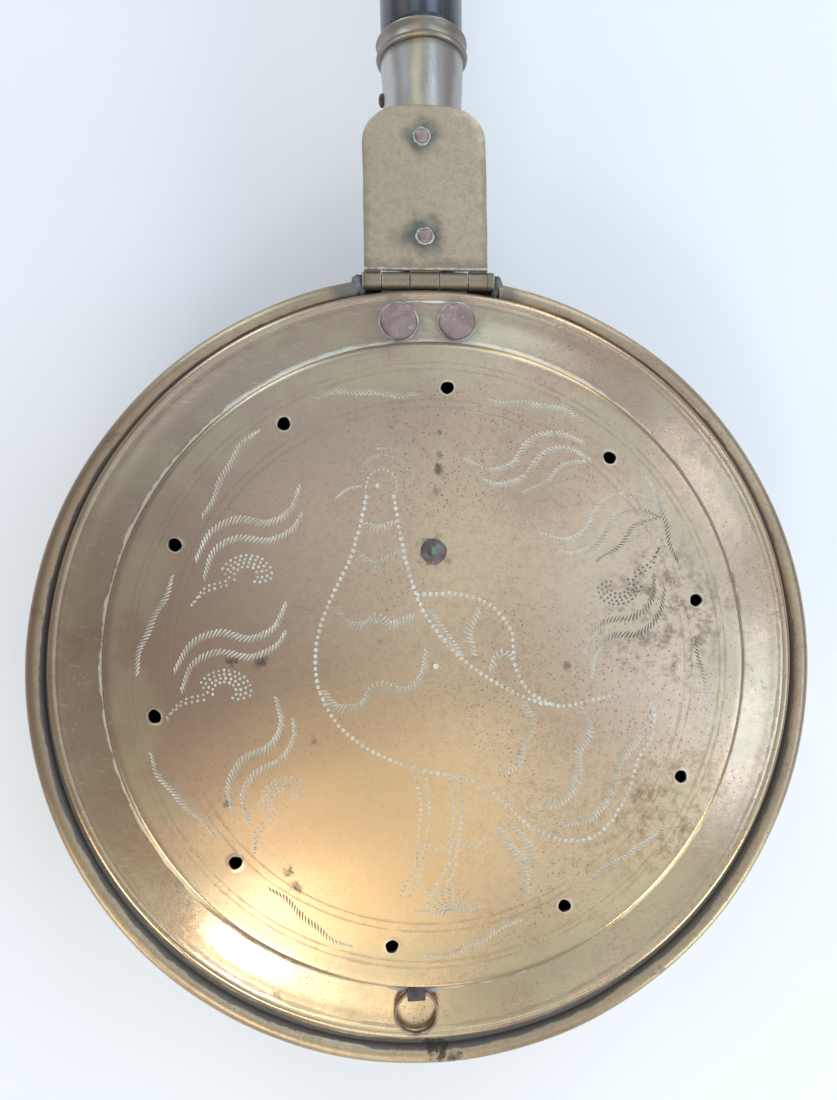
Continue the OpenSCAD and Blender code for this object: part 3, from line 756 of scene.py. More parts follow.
def plan_mesh(radius, segments, with_cuts, spacing, height):
    """Triangulates the dome's plan with every cut's outline in it, and lifts it to its height."""
    pts, edges, faces, lift, kind = [], [], [], [], []

    def add(p, dz=0.0):
        pts.append(Vector(p))
        lift.append(dz)
        return len(pts) - 1

    def loop(points, dz=0.0, face_kind=None):
        ids = [add(p, dz) for p in points]
        edges.extend(zip(ids, ids[1:] + ids[:1]))
        if face_kind:
            faces.append(ids)
            kind.append(face_kind)
        return ids

    def circle(r, n, dz=0.0):
        return loop([(r * math.cos(TAU * k / n), r * math.sin(TAU * k / n)) for k in range(n)], dz)

    circle(radius, segments)
    busy = []
    for k in range(len(VENTS)):
        loop(vent_outline(k, 0 if with_cuts else 0.12), 0.14 if with_cuts else -0.25, "hole")
        loop(vent_outline(k, 0.45), 0.12 if with_cuts else -0.12)
        loop(vent_outline(k, 1.3))
        busy.append((*polar(*VENTS[k]), 4.6))
    if with_cuts:
        for r in GROOVES:
            circle(r - 0.45, segments)
            circle(r, segments, -0.09)
            circle(r + 0.45, segments)
        for outline, inner, links, depth in cuts:
            loop(outline, 0.0, "cut")
            ids = [add(p, -depth) for p in inner]
            edges.extend((ids[a], ids[b]) for a, b in links)
            busy.append((*np.mean(outline, axis=0), 1.8))
    blocked = np.array(busy)
    rings = int(radius / spacing)
    for i in range(rings):
        r = (i + 0.5) * spacing
        if r > radius - spacing * 0.6 or (with_cuts and min(abs(r - g) for g in GROOVES) < 1.6):
            continue
        n = max(6, int(TAU * r / spacing))
        for k in range(n):
            a = TAU * (k + 0.5 * (i % 2)) / n
            x, y = r * math.cos(a), r * math.sin(a)
            if np.all((blocked[:, 0] - x) ** 2 + (blocked[:, 1] - y) ** 2 > blocked[:, 2] ** 2):
                add((x, y))
    co, _, tris, from_v, _, from_f = delaunay_2d_cdt(pts, edges, faces, 1, 1e-5)
    verts = []
    for p, src in zip(co, from_v):
        dz = min((lift[s] for s in src), default=0.0) if src else 0.0
        if src and dz == 0.0:
            dz = max(lift[s] for s in src)
        verts.append((p.x, p.y, height(p.x, p.y) + dz))
    keep, kinds = [], []
    for tri, src in zip(tris, from_f):
        names = {kind[s] for s in src}
        if "hole" in names:
            continue
        keep.append(tuple(tri))
        kinds.append("cut" if "cut" in names else "sheet")
    return verts, keep, kinds


def build_lid(mats):
    n = 360
    top_v, top_f, top_k = plan_mesh(DOME_EDGE, n, True, 3.6, dome_z)
    under_v, under_f, _ = plan_mesh(DOME_EDGE, n, False, 7.0, lambda x, y: dome_z(x, y) - LID_T)
    bead_x = LID_R - LID_BEAD_R
    shoulder = arc(DOME_EDGE, SHOULDER_Z - SHOULDER_R, SHOULDER_R, 90, 8, 8)[1:]
    under_shoulder = arc(DOME_EDGE, SHOULDER_Z - SHOULDER_R, SHOULDER_R - LID_T, 90, 8, 5)[1:]
    skin = shoulder + [(RISER_R + 0.05, 91.5), (RISER_R + 0.35, 90.85), (RISER_R + 1.0, 90.4), (RISER_R + 2.5, 90.16),
                       (RISER_R + 6, 89.98), (RISER_R + 10, 89.96), (RISER_R + 13, 90.08), (RISER_R + 15.4, 90.26)]
    skin += arc(bead_x, RIM_Z, LID_BEAD_R, 122, -180, 26)
    skin += [(bead_x - 2.3, 89.0), (RISER_R + 12, 88.85), (RISER_R + 6, 88.8), (RISER_R + 1, 88.95), (RISER_R - 0.6, 89.3),
             (RISER_R - 1.2, 90.2)] + under_shoulder[::-1]
    flange_dents = sines(11, 7, 25, 80)

    def wobble(r, z, a):
        if r < RISER_R:
            return 0, 0
        x, y = r * math.cos(a), r * math.sin(a)
        fade = min(1, (r - RISER_R) / 6)
        out = min(1, max(0, (LID_R - r) / 2))
        return 0.05 * flange_dents(x, y) * fade * out, (0.09 * flange_dents(y, x) - 0.03) * fade

    rim_v, rim_f = lathe(skin, n, wobble=wobble)
    verts = [(x, y, z) for x, y, z in top_v] + [(x, y, z) for x, y, z in under_v] + rim_v
    faces = list(top_f)
    kinds = [1 if k == "cut" else 0 for k in top_k]
    u0 = len(top_v)
    faces += [tuple(i + u0 for i in f[::-1]) for f in under_f]
    r0 = u0 + len(under_v)
    faces += [tuple(i + r0 for i in f[::-1]) for f in rim_f]

    def nearest(pool, offset, x, y):
        d = (pool[:, 0] - x) ** 2 + (pool[:, 1] - y) ** 2
        return int(np.argmin(d)) + offset

    top_np, under_np = np.array(top_v), np.array(under_v)
    ring = [(DOME_EDGE * math.cos(TAU * k / n), DOME_EDGE * math.sin(TAU * k / n)) for k in range(n)]
    t_ids = [nearest(top_np, 0, *p) for p in ring]
    u_ids = [nearest(under_np, u0, *p) for p in ring]
    last = r0 + (len(skin) - 1) * n
    for k in range(n):
        j = (k + 1) % n
        faces.append((t_ids[k], r0 + k, r0 + j, t_ids[j]))
        faces.append((u_ids[j], last + j, last + k, u_ids[k]))
    for k in range(len(VENTS)):
        ti = [nearest(top_np, 0, *p) for p in vent_outline(k, 0)]
        ui = [nearest(under_np, u0, *p) for p in vent_outline(k, 0.12)]
        for i in range(24):
            j = (i + 1) % 24
            faces.append((ti[i], ti[j], ui[j], ui[i]))
    kinds += [0] * (len(faces) - len(kinds))
    verts = [(x + LID_X, y + LID_Y, z) for x, y, z in verts]
    lid = make_piece("lid_sheet", (verts, faces), "lid_body", mats, kinds, 30, ("lid", "lid_rim_wire"))
    smooth_dome(lid)
    return lid


def smooth_dome(lid):
    """Gives the uncut dome its true normals, so the long triangles between the cuts don't show."""
    mesh = lid.data
    normals = [(0.0, 0.0, 0.0)] * len(mesh.loops)
    for poly in mesh.polygons:
        if poly.material_index != 0 or poly.normal.z < 0.9:
            continue
        cx, cy = poly.center.x / MM - LID_X, poly.center.y / MM - LID_Y
        r = math.hypot(cx, cy)
        if r > DOME_EDGE - 0.5 or min(abs(r - g) for g in GROOVES) < 0.46:
            continue
        if any(math.hypot(cx - vx, cy - vy) < VENT_R + 1.4 for vx, vy in (polar(*v) for v in VENTS)):
            continue
        for li in poly.loop_indices:
            v = mesh.vertices[mesh.loops[li].vertex_index].co
            x, y = v.x / MM - LID_X, v.y / MM - LID_Y
            if math.hypot(x, y) > DOME_EDGE - 0.6:
                continue
            e = 0.4
            dx = (dome_z(x + e, y) - dome_z(x - e, y)) / (2 * e)
            dy = (dome_z(x, y + e) - dome_z(x, y - e)) / (2 * e)
            normals[li] = tuple(Vector((-dx, -dy, 1)).normalized())
    mesh.normals_split_custom_set(normals)


# ---------------------------------------------------------------- pan, rim and wall
PAN_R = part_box("pan")[1].x / MM
BEAD_R = 3.9
BEAD_X = PAN_R - BEAD_R
BEAD_Z = RIM_Z - BEAD_R
BASE_R, CORNER_R, PAN_T = 110.0, 26.0, 1.2
NECK_R, SEAT_LOW, SEAT_TOP, SEAT_IN = 138.6, 83.6, 84.9, 137.2
REACH = math.hypot(NECK_R - BASE_R, SEAT_LOW - CORNER_R)
WALL_PHI = math.degrees(math.atan2(SEAT_LOW - CORNER_R, NECK_R - BASE_R) - math.acos(CORNER_R / REACH))
HINGE_MID = 1.2
NOTCH_HALF = 27.7


def build_pan(mats):
    def wall_r(z, d):
        return NECK_R - (SEAT_LOW - z) * math.tan(math.radians(-WALL_PHI)) + d

    skin = [(0, 0), (30, 0), (60, 0), (85, 0), (100, 0)]
    skin += arc(BASE_R, CORNER_R, CORNER_R, -90, WALL_PHI, 16)
    skin += [(wall_r(z, 0), z) for z in (32, 40, 48, 56, 64, 72, 78, 81.5)]
    skin += [(NECK_R + 0.1, 82.9), (NECK_R + 0.6, 83.45), (NECK_R + 1.6, 83.6), (BEAD_X - BEAD_R - 0.2, 83.55)]
    skin += arc(BEAD_X, BEAD_Z, BEAD_R, 192, 525, 40)
    skin += [(BEAD_X - BEAD_R - 0.8, SEAT_TOP + 0.02), (NECK_R + 1, SEAT_TOP), (SEAT_IN + 0.6, SEAT_TOP - 0.1),
             (SEAT_IN + 0.1, SEAT_TOP - 0.6)]
    skin += [(wall_r(z, -PAN_T), z) for z in (82.5, 78, 72, 64, 56, 48, 40, 32)]
    skin += arc(BASE_R, CORNER_R, CORNER_R - PAN_T, WALL_PHI, -90, 14)
    skin += [(100, PAN_T), (85, PAN_T), (60, PAN_T), (30, PAN_T), (0, PAN_T)]
    wall_dents = sines(21, 8, 30, 90)
    rim_dents = sines(22, 7, 28, 120)

    def wobble(r, z, a):
        x, y = 140 * math.cos(a), 140 * math.sin(a)
        if z > 79:
            return 0.10 * rim_dents(x, y) - 0.12, 0.06 * rim_dents(y, x) - 0.06
        if 8 < z:
            return 0.22 * wall_dents(x + z, y - z) * min(1, (79 - z) / 12) * min(1, (z - 8) / 10), 0
        return 0, 0

    pan = make_piece("pan_bowl", lathe(skin, 288, wobble=wobble), "pan_body", mats, None, 40,
                     ("pan", "pan_rim_wire"))
    x0, x1 = HINGE_MID - NOTCH_HALF, HINGE_MID + NOTCH_HALF
    boolean(pan, block(x0, x1, 140, 160, BEAD_Z - BEAD_R - 1, 110), "DIFFERENCE", 40)
    boolean(pan, block(x0, x1, 130, 160, SEAT_LOW, 110), "DIFFERENCE", 40)
    shelf = strip_outline([(137.9, 82.9), (140, 83.0), (143.6, 82.9), (145.4, 82.4), (146.8, 81.85), (149, 81.6), (153.1, 81.5)], 0.45)
    boolean(pan, extruded(shelf, x0 - 0.4, x1 + 0.4, 0.2), "UNION", 40)
    return pan


def build_rim_ends(mats):
    """Solder lumps that close the cut ends of the bead beside the hinge barrel."""
    left, right = HINGE_MID - NOTCH_HALF, HINGE_MID + NOTCH_HALF
    parts = [blob((left + 0.2, 147.6, 84.5), (2.3, 4.3, 3.5), 41, 0.11), blob((left + 1.7, 147.2, 84.2), (1.8, 3.9, 3.2), 53, 0.14),
             blob((left - 2.2, 144.6, 85.9), (2.8, 2.4, 1.7), 59, 0.14), blob((left + 0.6, 141.4, 84.4), (2.8, 2.0, 1.3), 57, 0.16),
             blob((right - 0.1, 148.0, 84.3), (2.0, 4.2, 3.5), 47, 0.09), blob((right - 1.0, 145.6, 84.2), (1.9, 3.4, 2.6), 43, 0.12)]
    make_piece("rim_end_solder", joined(*parts), "pan_body", mats, None, 60, ("rim_end_caps",))


# ---------------------------------------------------------------- hinge: plate, leaf, pin
HINGE_Y, HINGE_Z = 149.2, 86.0
KNUCKLE_R, PIN_R = 3.5, 1.25
CUTS = (-24.4, -17.0, -6.0, 5.5, 16.6, 26.8)
PLATE_TOP, PLATE_T = 89.5, 1.5
PLATE_MID, PLATE_HALF, PLATE_END = 0.4, 23.8, 217.0
RIVETS_Y = (165.6, 204.4)
AXIS_X, AXIS_Z = 1.5, 72.15


def about_hinge(section):
    return [(HINGE_Y + y, HINGE_Z + z) for y, z in section]


def knuckle_span(k):
    return CUTS[k] + (0 if k == 0 else 0.15), CUTS[k + 1] - (0 if k == 4 else 0.15)


def build_plate(mats):
    rise = 16.5
    left, right = PLATE_MID - PLATE_HALF, PLATE_MID + PLATE_HALF
    straight = PLATE_END - rise
    start = HINGE_Y + KNUCKLE_R - 0.3
    outline = [(x, start) for x in np.linspace(left, right, 24, endpoint=False)]
    outline += [(right, y) for y in np.linspace(start, straight, 22, endpoint=False)]
    for a in np.linspace(0, math.pi, 56, endpoint=False):
        c, s = math.cos(a), math.sin(a)
        outline.append((PLATE_MID + PLATE_HALF * math.copysign(abs(c) ** 0.77, c), straight + rise * s ** 0.77))
    outline += [(left, y) for y in np.linspace(straight, start, 22, endpoint=False)]
    edge = sines(31, 5, 16, 50)
    outline = [(x + 0.16 * edge(x, y) * (1 if y > start + 2 else 0), y + 0.12 * edge(y, x) * (1 if y > 180 else 0))
               for x, y in outline]
    wave = sines(32, 6, 20, 60)
    plate = make_piece("hinge_plate_sheet", sheet(outline, lambda x, y: PLATE_TOP - 0.07 + 0.06 * wave(x, y), PLATE_T - 0.05,
                                                  0.45, 2.5), "pan_body", mats, None, 32, ("hinge_plate",))
    hook = [(5.2, 3.3), (4.3, 3.2), (3.6, 2.5), (3.0, 2.15)] + arc(0, 0, KNUCKLE_R, 40, 342, 30)
    hook += arc(0, 0, PIN_R + 0.06, 342, 40, 22) + [(1.9, 0.95), (3.4, 1.1), (5.2, 1.96)]
    for k in (0, 2, 4):
        a, b = knuckle_span(k)
        if k == 0:
            boolean(plate, extruded(about_hinge(arc(0, 0, KNUCKLE_R, 0, 354, 40)), a, max(a, left) + 0.02), "UNION", 32)
            a = max(a, left)
        if k == 4:
            boolean(plate, extruded(about_hinge(arc(0, 0, KNUCKLE_R, 0, 354, 40)), min(b, right) - 0.02, b), "UNION", 32)
            b = min(b, right)
        boolean(plate, extruded(about_hinge(hook), a, b, 0.2), "UNION", 32)
    return plate


def build_leaf(mats):
    top, under = 89.05, 87.55
    end = HINGE_Y - KNUCKLE_R - 1.1
    section = [(125, under), (134.9, under), (135.35, 87.35), (136.4, 84.6), (136.9, 84.3), (end, 84.3), (end, 85.5),
               (137.9, 85.5), (137.55, 85.75), (136.5, 88.75), (136.1, top), (125, top)]
    leaf = make_piece("lid_leaf_sheet", extruded(section, HINGE_MID - 20, HINGE_MID + 20, 0.3), "lid_body", mats, None, 32,
                      ("lid_hinge_leaf",))
    hook = [(-5.0, -1.7)] + arc(0, 0, KNUCKLE_R, 209, 528, 34) + arc(0, 0, PIN_R + 0.06, 528, 205, 24)
    hook += [(-3.1, -0.5), (-5.0, -0.5)]
    for k in (1, 3):
        boolean(leaf, extruded(about_hinge(hook), *knuckle_span(k), 0.2), "UNION", 32)
    return leaf


def build_pin(mats):
    a, b = CUTS[0] - 0.38, CUTS[-1] + 0.38
    prof = [(0, a), (0.7, a), (1.15, a + 0.25), (PIN_R, a + 0.5), (PIN_R, b - 0.5), (1.15, b - 0.25), (0.7, b), (0, b)]
    make_piece("hinge_pin_rod", along_x(lathe(prof, 24), HINGE_Y, HINGE_Z), "pan_body", mats, None, 40, ("hinge_pin",))


# ---------------------------------------------------------------- rivets, crusts and the plug
def head_shape(cx, cy, profile, seed, rough, n=56, tilt=0.0):
    """A hammered head: its outline and top wander a little."""
    f, g = lobes(seed, rough, 2, 8), sines(seed, 5, 3, 9)

    def wobble(r, z, a):
        x, y = r * math.cos(a), r * math.sin(a)
        top = 1 if z > profile[-1][1] - 1.2 else 0
        return r * f(a), top * (0.09 * g(x, y) + tilt * x)

    return lathe(profile, n, (cx, cy), wobble=wobble)


def build_rivets(mats, crust):
    clench = 87.45
    for name, x, seed in (("left", -10.7, 61), ("right", 11.7, 66)):
        prof = [(0, clench - 1.15), (1.4, clench - 1.1), (2.3, clench - 0.7), (2.4, clench - 0.05), (2.0, clench + 0.05),
                (2.0, FLANGE_Z + 0.0), (6.9, FLANGE_Z - 0.1), (7.1, FLANGE_Z + 0.35), (6.95, FLANGE_Z + 0.75),
                (6.4, FLANGE_Z + 0.98), (5, FLANGE_Z + 1.1), (3, FLANGE_Z + 1.16), (1.4, FLANGE_Z + 1.15),
                (0, FLANGE_Z + 1.15)]
        make_piece("flat_rivet_" + name, head_shape(x, 132.2, prof, seed, 0.030), "lid_body", mats, None, 50,
                   ("lid_rivet_" + name,))
        make_piece("flat_rivet_crust_" + name, crust_ring(x, 132.2, FLANGE_Z - 0.15, 6.95, 7.7, 0.5, seed + 2), "lid_body",
                   [crust], None, 60, ())
    top = PLATE_TOP - 0.05
    for name, x, y, depth, tail, seed in (("lower", 0.0, RIVETS_Y[0], 7, 2.5, 71), ("upper", -0.6, RIVETS_Y[1], 20, 1.2, 76)):
        prof = [(0, top - depth - 0.9), (tail - 0.3, top - depth - 0.8), (tail, top - depth), (1.55, top - depth + 0.1),
                (1.55, top - 0.1), (2.75, top - 0.05), (2.85, top + 0.3), (2.6, top + 0.8), (1.9, top + 1.15),
                (0.9, top + 1.26), (0, top + 1.28)]
        make_piece("plate_rivet_head_" + name, head_shape(x, y, prof, seed, 0.05, 36, 0.02), "pan_body", mats, None, 50,
                   ("plate_rivet_" + name,))
        make_piece("plate_rivet_crust_" + name, crust_ring(x, y, top - 0.1, 2.75, 3.6, 0.42, seed + 2, 0.22), "pan_body",
                   [crust], None, 60, ())


def crust_ring(cx, cy, z, r_in, r_out, high, seed, rough=0.14):
    """The dry, pale ring that grows where two metals meet."""
    f, g = lobes(seed, rough, 2, 9), lobes(seed + 1, 0.45, 3, 11)
    mid = (r_in + r_out) / 2
    prof = [(r_in - 0.3, z - 0.1), (r_in - 0.1, z + high * 0.8), (mid, z + high), (r_out - 0.15, z + high * 0.45),
            (r_out, z - 0.05), (mid, z - 0.15)]

    def wobble(r, zz, a):
        out = (r - r_in + 0.3) / (r_out - r_in + 0.3)
        return (r_out - r_in) * (f(a) * 1.6) * out, (high * 0.5 * g(a) if zz > z + 0.1 else 0)

    return lathe(prof, 56, (cx, cy), True, wobble)


def build_plug(mats):
    z = dome_z(0, 44 - LID_Y) + 0.02
    prof = [(0, z - 2.35), (2.6, z - 2.3), (3.1, z - 1.8), (2.0, z - 1.5), (2.0, z + 0.1), (4.7, z + 0.05), (4.75, z + 0.4),
            (4.3, z + 0.78), (3.4, z + 0.85), (2.4, z + 0.75), (1.7, z + 1.05), (0.9, z + 1.2), (0, z + 1.15)]
    make_piece("dome_plug", head_shape(0, 44, prof, 83, 0.035, 40), "lid_body", mats, None, 50, ("lid_plug",))


# ---------------------------------------------------------------- lift ring and its staple
LIFT_X, PIVOT_Y, PIVOT_Z = -8.3, -120.4, 92.0


def build_lift(ring_mats, strap_mats, solder_mats):
    f, g = lobes(91, 0.012, 2, 5), lobes(92, 0.06, 2, 6)
    inner, outer, half = 7.3, 8.5, 1.1
    section = [(inner, -half + 0.35), (inner + 0.3, -half), (outer - 0.3, -half), (outer, -half + 0.35), (outer + 0.02, 0),
               (outer, half - 0.35), (outer - 0.3, half), (inner + 0.3, half), (inner, half - 0.35), (inner - 0.02, 0)]
    prof = [(r, PIVOT_Z + z) for r, z in section]
    ring = lathe(prof, 72, (LIFT_X, PIVOT_Y - 7.9), True, lambda r, z, a: (r * f(a), (z - PIVOT_Z) * g(a)))
    make_piece("lift_ring_band", ring, "lift_ring_body", ring_mats, None, 45, ("lift_ring",))
    path = [(-116.3, 94.45), (-118, 94.5), (-120, 94.5), (-121.6, 94.5)] + arc(-121.7, 93.25, 1.25, 90, 180, 6)[1:]
    path += [(-122.95, 92), (-122.95, 90.5), (-122.95, 88.2)]
    strap = extruded(strip_outline(path, 0.4), LIFT_X - 3.3, LIFT_X + 3.3, 0.18)
    make_piece("ring_staple_strap", strap, "lid_body", strap_mats, None, 35, ("ring_staple",))
    rings = []
    lump = sines(95, 5, 4, 14)
    for i in range(41):
        t = i / 40
        x = LIFT_X + 14.5 * (2 * t - 1)
        grow = math.sin(math.pi * (0.03 + 0.94 * t)) ** 0.7 * (1 + 0.18 * lump(x, 0))
        ring_pts = []
        for r, z in ((-0.6, -0.6), (0.6 + 2.9 * grow, -0.5), (0.5 + 2.6 * grow, 0.02), (0.3 + 1.5 * grow, 0.35 * grow),
                     (0.1 + 0.7 * grow, 0.95 * grow), (-0.25, 1.9 * grow), (-0.6, 1.6 * grow)):
            rr = RISER_R + r
            y = -math.sqrt(rr * rr - x * x) + LID_Y
            ring_pts.append((x, y, FLANGE_Z - 0.05 + z))
        rings.append(ring_pts)
    make_piece("staple_solder", loft(rings), "lid_body", solder_mats, None, 60, ())


# ---------------------------------------------------------------- socket, collar, nail
def build_socket(mats, iron_mats):
    dent = sines(101, 6, 18, 60)

    def wobble(r, y, a):
        return 0.12 * dent(16 * a * 2, y) - 0.06 if r > 15 and y > 218 else 0, 0

    prof = [(14.32, 153.7), (14.6, 153.42), (15.5, 153.42), (15.8, 153.8)]
    prof += [(15.8, y) for y in (165, 180, 195, 210, 218)]
    prof += [(15.9, 224), (16.05, 229), (16.3, 234), (16.65, 239), (16.95, 243.3), (14.32, 243.3)]
    make_piece("socket_tube", along_y(lathe(prof, 96, closed=True, wobble=wobble), AXIS_X, AXIS_Z), "pan_body", mats, None, 35,
               ("socket",))
    lip, ragged = lobes(103, 0.018, 2, 9), lobes(104, 1.0, 2, 7)

    def collar_wobble(r, y, a):
        return (r * lip(a) * 0.5 * (1 if y > 248 else 0.35), 0.12 * ragged(a) if y > 250 else 0)

    prof = [(14.35, 243.5), (17.3, 243.5), (17.9, 243.75), (18.45, 244.2), (18.6, 244.8), (18.35, 245.3), (17.85, 245.7),
            (17.75, 246.4), (17.75, 247.6), (17.8, 248.5), (17.95, 249.1), (18.35, 249.6), (18.55, 250.2), (18.4, 250.8),
            (17.9, 251.15), (17.2, 251.2), (16.9, 251.0), (14.35, 250.9)]
    make_piece("socket_collar_ring", along_y(lathe(prof, 96, closed=True, wobble=collar_wobble), AXIS_X, AXIS_Z), "pan_body",
               mats, None, 38, ("socket_collar",))
    prof = [(0, -9), (1.25, -7.5), (1.28, 16.05), (2.6, 16.1), (2.7, 16.5), (2.45, 17.1), (1.7, 17.6), (0.8, 17.85), (0, 17.9)]
    verts, faces = head_shape(0, 0, prof, 107, 0.05, 28)
    verts = [(AXIS_X - z, 228 + y, AXIS_Z + x) for x, y, z in verts]
    make_piece("socket_nail", (verts, faces), "pan_body", iron_mats, None, 45, ("handle_pin",))


# ---------------------------------------------------------------- handle and its rings
def build_handle(mats, iron_mats):
    waist = 11.6
    prof = [(0, 190.05), (14.0, 190.05), (14.2, 190.4), (14.2, 220), (14.2, 251.5), (15.7, 251.5), (16.2, 251.9), (16.5, 252.8)]
    taper = spline([(254, 16.62), (300, 16.75), (420, 15.4), (560, 12.85), (626, 11.6)], 9)
    prof += [(r, y) for y, r in taper]
    prof += [(11.75, 630), (12.15, 633.6), (12.0, 636.5), (11.2, 638.6), (10.35, 639.8), (10.4, 641)]
    prof += [(11.4 + 3.15 * math.sin(math.pi * t), 642.2 + 14 * t) for t in np.linspace(0.0, 1.0, 13)]
    prof += [(10.4, 657.6), (10.3, 658.8), (11.1, 660.6), (11.85, 663.5), (12.05, 666.5), (11.8, 670)]
    for y in np.arange(674, 838, 8.0):
        prof.append((waist + 2.6 * math.sin(math.pi * max(0, y - 672) / 166), y))
    prof += [(11.4, 840), (9.6, 843.5), (8.65, 846.2), (8.8, 848), (9.4, 849.6)]
    prof += [(9.9 + 2.85 * math.sin(math.pi * t), 850.2 + 7.4 * t) for t in np.linspace(0.06, 0.94, 8)]
    ball = arc(866.5, 0, 13, 148, 12, 18)
    prof += [(r, y) for y, r in ball] + [(2.6, 879.35), (0, 879.4)]

    def wobble(r, y, a):
        return 0.10 * math.sin(2 * a + 0.01 * y) * (1 if 256 < y < 840 else 0), 0

    make_piece("handle_wood", along_y(lathe(prof, 72, wobble=wobble), AXIS_X, AXIS_Z), "pan_body", mats, None, 40,
               ("handle",))
    end, eye_y, eye_r, wire = 880.0, 889.0, 6.0, 1.7
    prof = [(0, 861.2), (1.6, 861.6), (2.4, 863.2)]
    for y in np.arange(864, 879, 1.25):
        prof += [(2.48, y), (2.05, y + 0.6)]
    prof += [(2.45, 879.8), (4.7, 880.12), (4.95, 880.5), (4.7, 881.1), (3.6, 881.45), (2.3, 881.8), (1.85, 882.4), (1.7, 883.4),
             (0, 883.8)]
    eye = make_piece("handle_eye_loop", along_y(lathe(prof, 32), AXIS_X, AXIS_Z), "pan_body", iron_mats, None, 40,
                     ("handle_eye",))
    f = lobes(113, 0.03, 2, 5)
    loop_v, loop_f = lathe([(eye_r + p, q) for p, q in arc(0, 0, wire, 0, 337.5, 15)], 64, closed=True,
                           wobble=lambda r, z, a: (-0.1 + 0.6 * f(a), z * f(a + 1)))
    loop_v = [(AXIS_X + z, eye_y + x, AXIS_Z + y) for x, y, z in loop_v]
    boolean(eye, (loop_v, loop_f), "UNION", 40)
    ring_z = 69.65 - 12
    g = lobes(117, 0.02, 2, 6)

    def worn(r, z, a):
        thin = 0.22 * math.exp(-((a - TAU / 4) / 0.35) ** 2)
        return (12 - r) * thin + 0.35 * g(a), -z * thin

    ring_v, ring_f = lathe([(12 + p, q) for p, q in arc(0, 0, 1.5, 0, 337.5, 15)], 88, closed=True, wobble=worn)
    ring_v = [(AXIS_X + x, eye_y + z, ring_z + y) for x, y, z in ring_v]
    make_piece("hanging_ring_wire", (ring_v, ring_f), "hanging_ring_body", iron_mats, None, 40, ("hanging_ring",))


# ---------------------------------------------------------------- materials used on the pieces
GOLD, BROWN = (0.635, 0.47, 0.285), (0.50, 0.345, 0.235)


